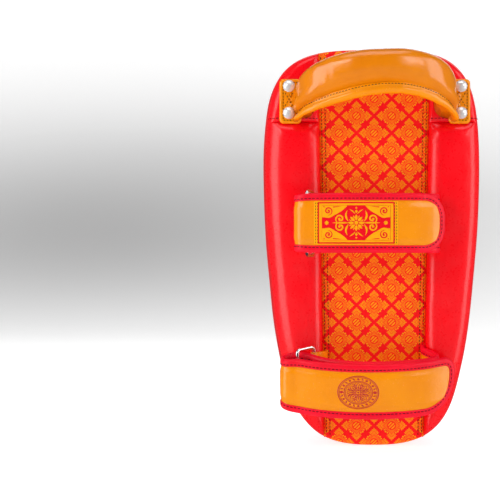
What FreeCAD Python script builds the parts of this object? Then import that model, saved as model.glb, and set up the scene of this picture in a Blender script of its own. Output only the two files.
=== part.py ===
import FreeCAD, Part
import math
import os

# Thai pad, standing upright. +Z is up, -Y faces the holder's arm, +Y is the strike face.
# All sizes are in millimetres.

os.makedirs("parts", exist_ok=True)

V = FreeCAD.Vector
UP = V(0, 0, 1)

# Body of the pad
OUTLINE = [
    (0.0, 5.8), (31.0, 8.3), (50.4, 15.6), (64.0, 27.3), (73.7, 42.9), (82.5, 70.2),
    (88.8, 99.4), (93.6, 132.6), (97.0, 166.7), (100.4, 205.7), (102.4, 249.6),
    (102.4, 293.5), (99.9, 325.7), (94.6, 349.1), (85.4, 365.6), (70.8, 377.8),
    (48.5, 384.7), (24.2, 386.8), (0.0, 387.1),
]
ORIGIN_SHIFT = V(0, 29.0, -5.8)  # from the drawing's axes to the middle of the box's underside
FRONT_Y = 50.0
BACK_Y = -52.0
FRONT_EDGE_R = 22.0
BACK_EDGE_R = 20.0
SKIN = 2.0
GAP = 0.2
FRONT_SEAM_Y = 26.0
BACK_SEAM_Y = -30.0
STRIKE_FOAM_Y = 18.0
CORE_FOAM_Y = -10.0

# Forearm channel between the two bolsters
PANEL_Y = -40.0
PANEL_HALF_LOW = 47.6
PANEL_TAPER = 0.0155
BOLSTER_EDGE_R = 12.0
BOLSTER_TOP_Z = 316.0
BOLSTER_TOP_R = 14.0
TOP_PANEL_Y = -46.0
TOP_PANEL_EDGE_R = 6.0
TOP_PANEL_END_R = 8.0

# Handle
TAB_X = (59.0, 91.0)
TAB_Z = (314.0, 357.0)
TAB_T = 3.0
RIVET_X = 82.0
RIVET_Z = (324.5, 350.0)
RIVET_SHANK_R = 2.0
RIVET_HEAD_R = 5.8
RIVET_HEAD_H = 3.4
RIVET_HOLE_R = 2.05
BACKING_T = 2.5
BURR_T = 1.2
BURR_R = 4.5
GRIP_HALF = 66.0
GRIP_END = (-50.0, 338.0)
GRIP_RISE = (-45.0, 22.0)
GRIP_A = 13.0
GRIP_B = 15.5
GRIP_NARROW = 0.24
GRIP_ROOT = 12.0
GRIP_SKIN = 1.6
GRIP_BASE_T = 2.4

# Straps: the band comes out of the right seam, turns round the ring and folds back
BAND_T = 3.0
BIND_T = 4.4
BIND_W = 7.0
EDGE_IN = 1.0
PATCH_T = 1.1
WIRE_R = 1.6
RING_PITCH = 21.0
TAB_SKIN = 1.65

UPPER = {
    "name": "upper",
    "z": 218.8,
    "width": 55.0,
    "slope": 0.0,
    "tip_x": 61.5,
    "tip_r": 17.0,
    "band": [
        (48.1, -40.6), (48.4, -46.0), (51.0, -51.8), (54.9, -57.5), (56.4, -64.0),
        (53.0, -70.2), (44.0, -74.6), (28.0, -78.0), (12.0, -80.0), (-6.0, -80.8),
        (-24.0, -79.8), (-38.0, -76.6), (-50.0, -71.8), (-58.0, -67.8),
        (-63.2, -65.8), (-67.6, -65.0),
    ],
    "fold": (-67.6, -73.3, 8.3),
    "flap": [
        (-65.2, -81.7), (-58.0, -82.9), (-48.0, -84.4), (-36.0, -85.9), (-24.0, -86.6),
        (-6.0, -86.8), (12.0, -86.0), (28.0, -84.1), (42.0, -80.8), (52.0, -76.6),
        (58.0, -73.2), (63.0, -70.0),
    ],
    "bar": (-59.5, -55.8),
    "aim": (-66.5, -75.6),
    "ring_z": 218.8,
    "ring_half": 28.4,
    "ring_tilt": 0.0,
    "tab": [(-48.7, -40.6), (-49.3, -46.0), (-52.4, -51.8), (-57.0, -54.8)],
    "tab_half": 22.0,
}
LOWER = {
    "name": "lower",
    "z": 78.0,
    "width": 50.0,
    "slope": 0.25,
    "tip_x": 71.0,
    "tip_r": 15.0,
    "band": [
        (46.0, -40.6), (46.3, -46.5), (49.2, -52.5), (53.4, -58.5), (55.6, -65.0),
        (52.5, -71.5), (44.0, -76.8), (30.0, -81.0), (12.0, -84.3), (-6.0, -85.8),
        (-24.0, -84.6), (-40.0, -80.0), (-50.0, -75.2), (-58.0, -69.5),
        (-64.5, -63.8), (-71.0, -60.9), (-76.0, -60.4), (-80.6, -60.5),
    ],
    "fold": (-80.6, -68.5, 8.0),
    "flap": [
        (-78.2, -76.9), (-72.0, -79.1), (-62.0, -83.6), (-50.0, -87.3), (-38.0, -89.9),
        (-24.0, -91.5), (-6.0, -91.8), (12.0, -90.4), (30.0, -87.2), (46.0, -81.9),
        (58.0, -76.2), (66.0, -71.8), (73.0, -67.6),
    ],
    "bar": (-56.5, -56.5),
    "aim": (-73.0, -69.5),
    "ring_z": 73.6,
    "ring_half": 28.0,
    "ring_tilt": 6.0,
    "tab": [(-46.4, -40.6), (-47.1, -46.0), (-50.2, -51.8), (-54.2, -55.2)],
    "tab_half": 19.0,
}
PANEL_SLOPE_Y = -41.0


def panel_half(z):
    """Half width of the channel panel at height z."""
    return PANEL_HALF_LOW + PANEL_TAPER * z


def outline_points(inset):
    """The pad's outline moved inwards by inset, as a closed ring of (x, z)."""
    base = Part.BSplineCurve()
    right = [V(x, 0, z) for x, z in OUTLINE]
    left = [V(-x, 0, z) for x, z in reversed(OUTLINE[1:-1])]
    base.interpolate(Points=right + left, PeriodicFlag=True)
    first, last = base.FirstParameter, base.LastParameter
    count = 56
    points = []
    for i in range(count):
        u = first + (last - first) * i / count
        p = base.value(u)
        t = base.tangent(u)[0]
        n = V(-t.z, 0, t.x)
        points.append(p + n * inset)
    return points


def outline_face(inset, y):
    """A flat face of the outline at depth y."""
    curve = Part.BSplineCurve()
    points = [V(p.x, y, p.z) for p in outline_points(inset)]
    curve.interpolate(Points=points, PeriodicFlag=True)
    return Part.Face(Part.Wire([curve.toShape()]))


def rim_edges(solid, y):
    """The long edges of a solid that lie in the plane at depth y."""
    found = []
    for edge in solid.Edges:
        box = edge.BoundBox
        if abs(box.YMin - y) < 0.01 and abs(box.YMax - y) < 0.01:
            found.append(edge)
    return found


def pad_solid(inset, y0, y1, r0=0.0, r1=0.0):
    """The outline drawn from y0 to y1, with rounded rims at either end."""
    solid = outline_face(inset, y0).extrude(V(0, y1 - y0, 0))
    if r0 > 0:
        solid = solid.makeFillet(r0, rim_edges(solid, y0))
    if r1 > 0:
        solid = solid.makeFillet(r1, rim_edges(solid, y1))
    return solid


def box(x0, x1, y0, y1, z0, z1):
    """A box between two corners."""
    return Part.makeBox(x1 - x0, y1 - y0, z1 - z0, V(x0, y0, z0))


def cylinder_y(x, z, r, y0, y1):
    """A cylinder along Y."""
    return Part.makeCylinder(r, y1 - y0, V(x, y0, z), V(0, 1, 0))


def edge_profile(half, back, radius, z):
    """One side's cross-section at height z: a wall, a rounded corner and a flat back."""
    wall = back + radius
    mid = radius * (1 - math.sqrt(0.5))
    a = V(half, 0, z)
    b = V(half, wall, z)
    c = V(half + mid, back + mid, z)
    d = V(half + radius, back, z)
    e = V(140, back, z)
    f = V(140, 0, z)
    edges = [
        Part.LineSegment(a, b).toShape(),
        Part.Arc(b, c, d).toShape(),
        Part.LineSegment(d, e).toShape(),
        Part.LineSegment(e, f).toShape(),
        Part.LineSegment(f, a).toShape(),
    ]
    return Part.Wire(edges)


def side_block(inset, back, radius):
    """Everything right of the channel panel and in front of a rounded back face."""
    low = edge_profile(panel_half(-20) + inset, back + inset, radius - inset, -20)
    high = edge_profile(panel_half(420) + inset, back + inset, radius - inset, 420)
    return Part.makeLoft([low, high], True, True)


def end_block(back, z_end, radius, inset, above):
    """Everything below or above z_end, with its back corner rounded."""
    s = 1 if above else -1
    z_in = z_end + s * inset
    y_in = back + inset
    r_in = radius - inset
    far = z_end + s * 500
    mid = r_in * (1 - math.sqrt(0.5))
    a = V(-150, 60, z_in)
    b = V(-150, y_in + r_in, z_in)
    c = V(-150, y_in + mid, z_in + s * mid)
    d = V(-150, y_in, z_in + s * r_in)
    e = V(-150, y_in, far)
    f = V(-150, 60, far)
    edges = [
        Part.LineSegment(a, b).toShape(),
        Part.Arc(b, c, d).toShape(),
        Part.LineSegment(d, e).toShape(),
        Part.LineSegment(e, f).toShape(),
        Part.LineSegment(f, a).toShape(),
    ]
    return Part.Face(Part.Wire(edges)).extrude(V(300, 0, 0))


def mirror_x(shape):
    """The same shape on the other side of the centreline."""
    return shape.mirror(V(0, 0, 0), V(1, 0, 0))


def make_shell_parts():
    """Outer skins, apart from the two sides of the back."""
    outer = pad_solid(0, FRONT_SEAM_Y, FRONT_Y, 0, FRONT_EDGE_R)
    inner = pad_solid(SKIN, FRONT_SEAM_Y, FRONT_Y - SKIN, 0, FRONT_EDGE_R - SKIN)
    strike_cover = outer.cut(inner)
    wall = pad_solid(0, BACK_SEAM_Y, FRONT_SEAM_Y)
    gusset = wall.cut(pad_solid(SKIN, BACK_SEAM_Y, FRONT_SEAM_Y))
    return strike_cover, gusset


def make_foams():
    """The three full-size foam layers."""
    inset = SKIN + GAP
    front = FRONT_Y - inset
    edge = FRONT_EDGE_R - inset
    strike = pad_solid(inset, STRIKE_FOAM_Y, front, 0, edge)
    core = pad_solid(inset, CORE_FOAM_Y, STRIKE_FOAM_Y - GAP)
    backing = pad_solid(inset, BACK_Y + inset, CORE_FOAM_Y - GAP, BACK_EDGE_R - inset, 0)
    backing = backing.common(box(-150, 150, PANEL_Y + inset, 0, -10, 400))
    return strike, core, backing


def make_forearm_panel(envelope, inner):
    """The flat panel that lines the channel and wraps over the top and bottom edges."""
    low, high = panel_half(-20) - 0.1, panel_half(420) - 0.1
    corners = [V(-low, -60, -20), V(low, -60, -20), V(high, -60, 420), V(-high, -60, 420)]
    window = Part.Face(Part.makePolygon(corners + corners[:1])).extrude(V(0, 40, 0))
    block = envelope.common(box(-150, 150, PANEL_Y, BACK_SEAM_Y, -10, 400)).common(window)
    hollow = inner.common(box(-150, 150, PANEL_Y + SKIN, -1, -10, 400))
    return block.cut(hollow)


def make_side(envelope, inner, back, edge_r, z_end, end_r, above):
    """A skin and its foam for one piece of the right side of the back."""
    far = box(-10, 150, BACK_Y - 5, BACK_SEAM_Y, -10, 400)
    outside = envelope.common(side_block(0, back, edge_r))
    outside = outside.common(end_block(back, z_end, end_r, 0, above)).common(far)
    inside = inner.common(side_block(SKIN, back, edge_r))
    inside = inside.common(end_block(back, z_end, end_r, SKIN, above))
    skin = outside.cut(inside)
    under = inner.common(box(-10, 150, PANEL_Y + SKIN, 0, -10, 400))
    skin = skin.cut(under)
    small = pad_solid(SKIN + GAP, BACK_Y + SKIN + GAP, 0, BACK_EDGE_R - SKIN - GAP, 0)
    foam = small.common(side_block(SKIN + GAP, back, edge_r))
    foam = foam.common(end_block(back, z_end, end_r, SKIN + GAP, above))
    foam = foam.common(box(-10, 150, BACK_Y, PANEL_Y + SKIN, -10, 400))
    return skin, foam


def tab_plate():
    """The right-hand handle tab, flat on the top panel."""
    y1 = TOP_PANEL_Y
    plate = box(TAB_X[0], TAB_X[1], y1 - TAB_T, y1, TAB_Z[0], TAB_Z[1])
    corners = []
    for edge in plate.Edges:
        b = edge.BoundBox
        if b.XLength < 0.01 and b.ZLength < 0.01:
            corners.append(edge)
    plate = plate.makeFillet(3.0, corners)
    for z in RIVET_Z:
        plate = plate.cut(cylinder_y(RIVET_X, z, RIVET_HOLE_R, y1 - 10, y1 + 10))
    return plate


def rivet(z):
    """One domed rivet with its shank, on the right-hand side."""
    face = TOP_PANEL_Y - TAB_T
    radius = (RIVET_HEAD_R ** 2 + RIVET_HEAD_H ** 2) / (2 * RIVET_HEAD_H)
    ball = Part.makeSphere(radius, V(RIVET_X, face - RIVET_HEAD_H + radius, z))
    head = ball.common(box(RIVET_X - 9, RIVET_X + 9, face - 9, face, z - 9, z + 9))
    end = TOP_PANEL_Y + SKIN + BACKING_T + BURR_T + 0.5
    return head.fuse(cylinder_y(RIVET_X, z, RIVET_SHANK_R, face - 0.5, end))


def rivet_burr(z):
    """The washer that the rivet's end is peened over."""
    y0 = TOP_PANEL_Y + SKIN + BACKING_T
    ring = cylinder_y(RIVET_X, z, BURR_R, y0, y0 + BURR_T)
    return ring.cut(cylinder_y(RIVET_X, z, RIVET_HOLE_R, y0 - 5, y0 + 5))


def rivet_backing(room):
    """The stiff strip behind the top panel, trimmed to the room inside the panel's skin."""
    y0 = TOP_PANEL_Y + SKIN
    plate = box(75.5, 87.5, y0, y0 + BACKING_T, TAB_Z[0] + 3, TAB_Z[1] - 2.5)
    plate = plate.common(room)
    for z in RIVET_Z:
        plate = plate.cut(cylinder_y(RIVET_X, z, RIVET_HOLE_R, y0 - 5, y0 + 5))
    return plate


def grip_frame(t):
    """Centre, side direction and up direction of the grip at angle t round its arch."""
    lift = math.cos(t)
    centre = V(GRIP_HALF * math.sin(t), 0, 0)
    centre = centre + V(0, GRIP_END[0] + GRIP_RISE[0] * lift, GRIP_END[1] + GRIP_RISE[1] * lift)
    along = V(GRIP_HALF * lift, -GRIP_RISE[0] * math.sin(t), -GRIP_RISE[1] * math.sin(t))
    along = along.normalize()
    up = (UP - along * UP.dot(along)).normalize()
    return centre, along, along.cross(up).normalize(), up


def ellipse_wire(centre, side, up, a, b):
    """An ellipse with half width a along side and half height b along up."""
    points = []
    for i in range(16):
        t = 2 * math.pi * i / 16
        points.append(centre + side * (a * math.cos(t)) + up * (b * math.sin(t)))
    curve = Part.BSplineCurve()
    curve.interpolate(Points=points, PeriodicFlag=True)
    return Part.Wire([curve.toShape()])


def grip_solid(a, b, offset_up=0.0, reach=0.0):
    """A tube of elliptical section along the arch of the handle, standing on the tabs."""
    sections = []
    for i in range(-1, 14):
        t = math.pi / 2 * (min(max(i, 0), 12) - 6) / 6
        centre, along, side, up = grip_frame(t)
        if i < 0:
            centre = centre - along * GRIP_ROOT
        if i > 12:
            centre = centre + along * GRIP_ROOT
        narrow = 1 - GRIP_NARROW * abs(math.sin(t)) ** 3
        sections.append(ellipse_wire(centre + up * offset_up, side, up, a * narrow, b))
    tube = Part.makeLoft(sections, True, False)
    seat = TOP_PANEL_Y - TAB_T - 0.2
    return tube.common(box(-120, 120, -200, seat + reach, 280, 420))


def make_handle():
    """Grip cover, its foam, the load strap in its middle and the rolled edge below."""
    outer = grip_solid(GRIP_A, GRIP_B)
    cover = outer.cut(grip_solid(GRIP_A - GRIP_SKIN, GRIP_B - GRIP_SKIN, 0.0, 1.0))
    strap = grip_solid(GRIP_BASE_T, 9.0, 0.0, -0.2)
    core = grip_solid(GRIP_A - GRIP_SKIN - 0.1, GRIP_B - GRIP_SKIN - 0.1, 0.0, -0.2)
    foam = core.cut(grip_solid(GRIP_BASE_T + 0.1, 9.1, 0.0, 1.0))
    edge = grip_solid(3.6, 5.0, -GRIP_B - 3.4)
    piping = edge.cut(grip_solid(GRIP_A + 0.05, GRIP_B + 0.05, 0.0, 1.0))
    return cover, foam, strap, piping


def path_curve(points):
    """A smooth curve through plan points (x, y)."""
    curve = Part.BSplineCurve()
    curve.interpolate([V(x, y, 0) for x, y in points])
    return curve


def offset_edge(curve, offset, reverse=False):
    """The curve moved sideways, positive to the left of its direction."""
    first, last = curve.FirstParameter, curve.LastParameter
    count = 64
    points = []
    for i in range(count + 1):
        u = first + (last - first) * i / count
        p = curve.value(u)
        t = curve.tangent(u)[0]
        points.append(p + V(-t.y, t.x, 0) * offset)
    if reverse:
        points.reverse()
    moved = Part.BSplineCurve()
    moved.interpolate(points)
    return moved


def slab(curve, d0, d1):
    """A tall curved wall between two offsets of a plan curve."""
    a = offset_edge(curve, d0)
    b = offset_edge(curve, d1, True)
    edges = [
        a.toShape(),
        Part.LineSegment(a.value(a.LastParameter), b.value(b.FirstParameter)).toShape(),
        b.toShape(),
        Part.LineSegment(b.value(b.LastParameter), a.value(a.FirstParameter)).toShape(),
    ]
    face = Part.Face(Part.Wire(edges))
    face.translate(V(0, 0, -60))
    return face.extrude(V(0, 0, 460))


def lean(strap, face):
    """Draw a face at y = 0 through the strap, dropping it with distance from the pad."""
    k = strap["slope"]
    face.translate(V(0, -120, k * (-120 - PANEL_SLOPE_Y)))
    return face.extrude(V(0, 120, 120 * k))


def edge_prism(strap, inset, x0, x1):
    """A straight window on the strap between x0 and x1."""
    half = strap["width"] / 2 - inset
    z = strap["z"]
    corners = [V(x0, 0, z - half), V(x1, 0, z - half), V(x1, 0, z + half), V(x0, 0, z + half)]
    return lean(strap, Part.Face(Part.makePolygon(corners + corners[:1])))


def tip_prism(strap, inset, x0):
    """The flap's outline from x0 to its rounded tip."""
    half = strap["width"] / 2 - inset
    x1 = strap["tip_x"] - inset
    r = strap["tip_r"] - inset
    z = strap["z"]
    q = r * (1 - math.sqrt(0.5))
    low, high = z - half, z + half
    edges = [
        Part.LineSegment(V(x0, 0, low), V(x1 - r, 0, low)).toShape(),
        Part.Arc(V(x1 - r, 0, low), V(x1 - q, 0, low + q), V(x1, 0, low + r)).toShape(),
        Part.LineSegment(V(x1, 0, low + r), V(x1, 0, high - r)).toShape(),
        Part.Arc(V(x1, 0, high - r), V(x1 - q, 0, high - q), V(x1 - r, 0, high)).toShape(),
        Part.LineSegment(V(x1 - r, 0, high), V(x0, 0, high)).toShape(),
        Part.LineSegment(V(x0, 0, high), V(x0, 0, low)).toShape(),
    ]
    return lean(strap, Part.Face(Part.Wire(edges)))


def band_curve(strap):
    """Plan curve of the band, from the right seam to the far side of the fold."""
    cx, cy, r = strap["fold"]
    q = r * math.sqrt(0.5)
    turn = [(cx - q, cy + q), (cx - r, cy), (cx - q, cy - q), (cx, cy - r)]
    return path_curve(strap["band"] + turn)


def make_band(strap):
    """The band, its bound edges and the loop patch."""
    curve = band_curve(strap)
    body = slab(curve, -BAND_T / 2, BAND_T / 2).common(edge_prism(strap, EDGE_IN, -120, 90))
    thick = slab(curve, -BIND_T / 2, BIND_T / 2)
    whole = edge_prism(strap, 0, -120, 90)
    window = edge_prism(strap, BIND_W, -130, 100)
    binding = thick.common(whole).cut(window).cut(body)
    out = BAND_T / 2
    patch = slab(curve, out, out + PATCH_T)
    patch = patch.common(edge_prism(strap, BIND_W + 1, -38, 38))
    patch = patch.common(box(-60, 60, -120, -60, -60, 400))
    return body, binding, patch


def make_flap(strap):
    """The flap, its bound edge and the hook patch."""
    curve = path_curve(strap["flap"])
    root = strap["flap"][0][0]
    body = slab(curve, -BAND_T / 2, BAND_T / 2).common(tip_prism(strap, EDGE_IN, root - 20))
    thick = slab(curve, -BIND_T / 2, BIND_T / 2)
    whole = tip_prism(strap, 0, root + 8)
    window = tip_prism(strap, BIND_W, root - 20)
    binding = thick.common(whole).cut(window).cut(body)
    inner = BAND_T / 2
    patch = slab(curve, inner, inner + PATCH_T)
    patch = patch.common(edge_prism(strap, BIND_W + 1, -28, 36))
    return body, binding, patch


def make_label(strap):
    """The woven label on the upper flap."""
    curve = path_curve(strap["flap"])
    out = -BAND_T / 2
    plate = slab(curve, out - 0.8, out)
    return plate.common(edge_prism(strap, BIND_W + 0.4, -60, 16))


def ring_frame(strap):
    """Centre of the held bar, direction to the far bar and direction of the bars."""
    bx, by = strap["bar"]
    ax, ay = strap["aim"]
    flat = V(ax - bx, ay - by, 0).normalize()
    t = math.radians(strap["ring_tilt"])
    across = flat * math.cos(t) - UP * math.sin(t)
    bar = UP * math.cos(t) + flat * math.sin(t)
    return V(bx, by, strap["ring_z"]), across, bar


def make_ring(strap):
    """A rectangular wire ring with rounded corners."""
    centre, across, bar = ring_frame(strap)
    half = strap["ring_half"] + WIRE_R
    r = 4.0
    q = r * (1 - math.sqrt(0.5))

    def at(u, v):
        return centre + across * u + bar * v

    p = RING_PITCH
    edges = [
        Part.LineSegment(at(0, -half + r), at(0, half - r)).toShape(),
        Part.Arc(at(0, half - r), at(q, half - q), at(r, half)).toShape(),
        Part.LineSegment(at(r, half), at(p - r, half)).toShape(),
        Part.Arc(at(p - r, half), at(p - q, half - q), at(p, half - r)).toShape(),
        Part.LineSegment(at(p, half - r), at(p, -half + r)).toShape(),
        Part.Arc(at(p, -half + r), at(p - q, -half + q), at(p - r, -half)).toShape(),
        Part.LineSegment(at(p - r, -half), at(r, -half)).toShape(),
        Part.Arc(at(r, -half), at(q, -half + q), at(0, -half + r)).toShape(),
    ]
    spine = Part.Wire(edges)
    section = Part.Wire([Part.makeCircle(WIRE_R, at(0, -half + r), bar)])
    return spine.makePipeShell([section], True, False)


def make_anchor_tab(strap):
    """The folded leather tab that holds the ring."""
    centre, across, bar = ring_frame(strap)
    half = strap["tab_half"]
    curve = path_curve(strap["tab"])
    window = box(-80, 0, -70, -40.2, centre.z - half, centre.z + half)
    leaf = slab(curve, -TAB_SKIN, TAB_SKIN).common(window)
    start = centre - bar * half
    eye = Part.makeCylinder(WIRE_R + 0.05 + TAB_SKIN, 2 * half, start, bar)
    hole = Part.makeCylinder(WIRE_R + 0.05, 2 * half + 60, start - bar * 30, bar)
    return leaf.fuse(eye).cut(hole).removeSplitter()


def make_webbing(z, half):
    """Webbing behind the panel that ties the two strap seams together."""
    y0 = PANEL_Y + SKIN
    reach = panel_half(z) - 4
    return box(-reach, reach, y0, y0 + 1.6, z - half, z + half)


def drill_rivets(shape, radius):
    """Rivet holes in a right-hand piece."""
    for z in RIVET_Z:
        shape = shape.cut(cylinder_y(RIVET_X, z, radius, -60, -38))
    return shape


def both(shape):
    """A shape and its mirror image as one group of solids."""
    return Part.makeCompound(shape.Solids + mirror_x(shape).Solids)


def save(name, shape):
    """Write one node and check that it is closed."""
    solids = shape.Solids
    good = shape.isValid() and len(solids) > 0
    if len(solids) == 1:
        shape = solids[0]
    else:
        shape = Part.makeCompound(solids)
    shape.translate(ORIGIN_SHIFT)
    shape.exportStep("parts/" + name + ".step")
    volume = sum(s.Volume for s in solids)
    print(name, "solids", len(solids), "valid", good, "volume", round(volume))


def main():
    envelope = pad_solid(0, BACK_Y, 0, BACK_EDGE_R, 0)
    inner = pad_solid(SKIN, BACK_Y + SKIN, 0, BACK_EDGE_R - SKIN, 0)

    strike_cover, gusset = make_shell_parts()
    save("strike_cover", strike_cover)
    save("side_gusset", gusset)
    save("forearm_panel", make_forearm_panel(envelope.copy(), inner.copy()))

    strike, core, backing = make_foams()
    upper_web = make_webbing(UPPER["z"], 22)
    lower_web = make_webbing(LOWER["z"], 20)
    backing = backing.cut(upper_web).cut(lower_web)
    save("strike_foam", strike)
    save("core_foam", core)
    save("backing_foam", backing)
    save("upper_anchor_webbing", upper_web)
    save("lower_anchor_webbing", lower_web)

    skin, foam = make_side(
        envelope, inner, BACK_Y, BOLSTER_EDGE_R, BOLSTER_TOP_Z, BOLSTER_TOP_R, False)
    save("right_bolster_cover", skin)
    save("left_bolster_cover", mirror_x(skin))
    save("right_bolster_foam", foam)
    save("left_bolster_foam", mirror_x(foam))

    skin, foam = make_side(
        envelope, inner, TOP_PANEL_Y, TOP_PANEL_EDGE_R, BOLSTER_TOP_Z, TOP_PANEL_END_R, True)
    skin = drill_rivets(skin, RIVET_HOLE_R)
    backing = rivet_backing(foam)
    foam = foam.cut(rivet_room())
    save("right_top_panel", skin)
    save("left_top_panel", mirror_x(skin))
    save("right_top_foam", foam)
    save("left_top_foam", mirror_x(foam))

    save("handle_end_tabs", both(tab_plate()))
    save("rivet_backing_strips", both(backing))
    save("handle_rivets", both(Part.makeCompound([rivet(z) for z in RIVET_Z])))
    save("rivet_burrs", both(Part.makeCompound([rivet_burr(z) for z in RIVET_Z])))
    cover, foam, strap, piping = make_handle()
    save("handle_cover", cover)
    save("handle_foam", foam)
    save("handle_load_strap", strap)
    save("handle_rolled_edge", piping)

    for strap in (UPPER, LOWER):
        name = strap["name"]
        body, binding, patch = make_band(strap)
        save(name + "_strap_band", body)
        save(name + "_band_binding", binding)
        save(name + "_loop_patch", patch)
        body, binding, patch = make_flap(strap)
        save(name + "_flap", body)
        save(name + "_flap_binding", binding)
        save(name + "_hook_patch", patch)
        save(name + "_ring", make_ring(strap))
        save(name + "_anchor_tab", make_anchor_tab(strap))
    save("upper_label", make_label(UPPER))


def rivet_room():
    """Space in the top foam for the strip, the burrs and the rivet ends."""
    y0 = TOP_PANEL_Y + SKIN
    room = box(74, 89, y0 - 1, y0 + BACKING_T + 0.1, TAB_Z[0] + 2, TAB_Z[1] - 2)
    for z in RIVET_Z:
        room = room.fuse(cylinder_y(RIVET_X, z, BURR_R + 0.5, y0, y0 + BACKING_T + BURR_T + 0.8))
    return room


main()
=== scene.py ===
import math

import bmesh
import bpy
import numpy as np
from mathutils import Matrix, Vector, noise


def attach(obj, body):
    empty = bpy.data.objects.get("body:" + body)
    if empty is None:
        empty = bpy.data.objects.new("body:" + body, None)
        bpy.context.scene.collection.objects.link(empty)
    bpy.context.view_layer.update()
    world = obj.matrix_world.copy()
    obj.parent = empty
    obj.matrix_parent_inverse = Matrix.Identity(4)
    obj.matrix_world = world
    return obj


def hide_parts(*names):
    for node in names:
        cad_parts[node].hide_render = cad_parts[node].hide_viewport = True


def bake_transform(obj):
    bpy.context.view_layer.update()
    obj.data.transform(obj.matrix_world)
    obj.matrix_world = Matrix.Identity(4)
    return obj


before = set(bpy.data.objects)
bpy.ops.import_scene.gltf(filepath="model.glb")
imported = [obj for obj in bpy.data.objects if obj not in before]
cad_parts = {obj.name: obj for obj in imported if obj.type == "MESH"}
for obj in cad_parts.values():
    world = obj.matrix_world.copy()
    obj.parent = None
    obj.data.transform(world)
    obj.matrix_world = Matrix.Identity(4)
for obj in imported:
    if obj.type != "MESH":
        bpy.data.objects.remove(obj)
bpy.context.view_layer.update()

MM = 0.001

# ---------------------------------------------------------------- sizes, in millimetres
OUTLINE = [
    (0.0, 5.8), (31.0, 8.3), (50.4, 15.6), (64.0, 27.3), (73.7, 42.9), (82.5, 70.2),
    (88.8, 99.4), (93.6, 132.6), (97.0, 166.7), (100.4, 205.7), (102.4, 249.6),
    (102.4, 293.5), (99.9, 325.7), (94.6, 349.1), (85.4, 365.6), (70.8, 377.8),
    (48.5, 384.7), (24.2, 386.8), (0.0, 387.1),
]
FRONT_Y = 50.0
FRONT_SEAM = 26.0
SWAY_LEFT, SWAY_RIGHT = 1.6, 0.3       # how far the padding on each side lies to the left
CROSS_SEAM_Z = 316.0
SHIFT = np.array([0.0, 29.0, -5.8])
PANEL_LOW, PANEL_HIGH = 14.2, 383.2


def panel_half(z):
    """Half width of the patterned panel at height z."""
    return 47.6 + 0.0155 * z


# ---------------------------------------------------------------- curves
def ramp(value, start, width):
    """0 up to start, then straight up to 1 over width."""
    return np.clip((np.asarray(value, float) - start) / width, 0, 1)


def eased(t):
    """A 0 to 1 ramp with soft ends."""
    return t * t * (3 - 2 * t)


def along(rows, run, u):
    """The row that lies at run u, between its neighbours."""
    return np.array([np.interp(u, run, rows[:, k]) for k in range(rows.shape[1])])


def run_length(points):
    """Distance along a line at each of its points."""
    return np.concatenate([[0], np.cumsum(np.linalg.norm(np.diff(points, axis=0), axis=1))])


def spline(points, count, closed=False):
    """A smooth curve through points, sampled evenly, by cubic interpolation."""
    p = np.array(points, float)
    if closed:
        p = np.vstack([p, p[:1]])
    step = np.linalg.norm(np.diff(p, axis=0), axis=1)
    t = np.concatenate([[0], np.cumsum(step)])
    n = len(p)
    a = np.zeros((n, n))
    b = np.zeros((n, p.shape[1]))
    for i in range(1, n - 1):
        a[i, i - 1], a[i, i], a[i, i + 1] = step[i - 1], 2 * (step[i - 1] + step[i]), step[i]
        b[i] = 6 * ((p[i + 1] - p[i]) / step[i] - (p[i] - p[i - 1]) / step[i - 1])
    if closed:
        a[0, 0], a[0, 1] = 2 * (step[-1] + step[0]), step[0]
        a[0, n - 2] = step[-1]
        b[0] = 6 * ((p[1] - p[0]) / step[0] - (p[0] - p[-2]) / step[-1])
        a[n - 1, 0], a[n - 1, n - 1] = 1, -1
    else:
        a[0, 0], a[n - 1, n - 1] = 1, 1
    m = np.linalg.solve(a, b)

    def at(u):
        k = np.clip(np.searchsorted(t, u, side="right") - 1, 0, n - 2)
        h = step[k][:, None]
        x0, x1 = (t[k + 1] - u)[:, None], (u - t[k])[:, None]
        return (m[k] * x0 ** 3 + m[k + 1] * x1 ** 3) / (6 * h) \
            + (p[k] / h - m[k] * h / 6) * x0 + (p[k + 1] / h - m[k + 1] * h / 6) * x1

    fine = at(np.linspace(0, t[-1], 40 * n))
    run = run_length(fine)
    want = np.linspace(0, run[-1], count + 1 if closed else count)
    out = np.stack([np.interp(want, run, fine[:, i]) for i in range(p.shape[1])], 1)
    return out[:-1] if closed else out


def ring_outline(count):
    """The pad's outline as a closed ring of (x, z), and its inward normals."""
    pts = OUTLINE + [(-x, z) for x, z in reversed(OUTLINE[1:-1])]
    ring = spline(pts, count, True)
    t = np.roll(ring, -1, 0) - np.roll(ring, 1, 0)
    t /= np.linalg.norm(t, axis=1)[:, None]
    return ring, np.stack([-t[:, 1], t[:, 0]], 1)


RING, RING_N = ring_outline(720)
RIGHT = RING[:361]


def edge_distance(x, z):
    """Distance from points inside the outline to the outline."""
    shape = np.shape(x)
    x, z = np.ravel(x), np.ravel(z)
    out = np.empty(len(x))
    for i in range(0, len(x), 4000):
        dx = x[i:i + 4000, None] - RING[None, :, 0]
        dz = z[i:i + 4000, None] - RING[None, :, 1]
        k = np.argmin(dx * dx + dz * dz, axis=1)
        j = np.arange(len(k))
        along = dx[j, k] * RING_N[k, 0] + dz[j, k] * RING_N[k, 1]
        out[i:i + 4000] = along
    return np.maximum(out, 0).reshape(shape)


def wave(x, y, z, size, seed=0.0):
    """Smooth noise from -1 to 1 at points, with features about size mm across."""
    flat = [np.ravel(np.broadcast_to(v, np.broadcast(x, y, z).shape)) for v in (x, y, z)]
    vals = [noise.noise(Vector((a / size + seed, b / size, c / size)))
            for a, b, c in zip(*flat)]
    return np.array(vals).reshape(np.broadcast(x, y, z).shape)


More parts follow.
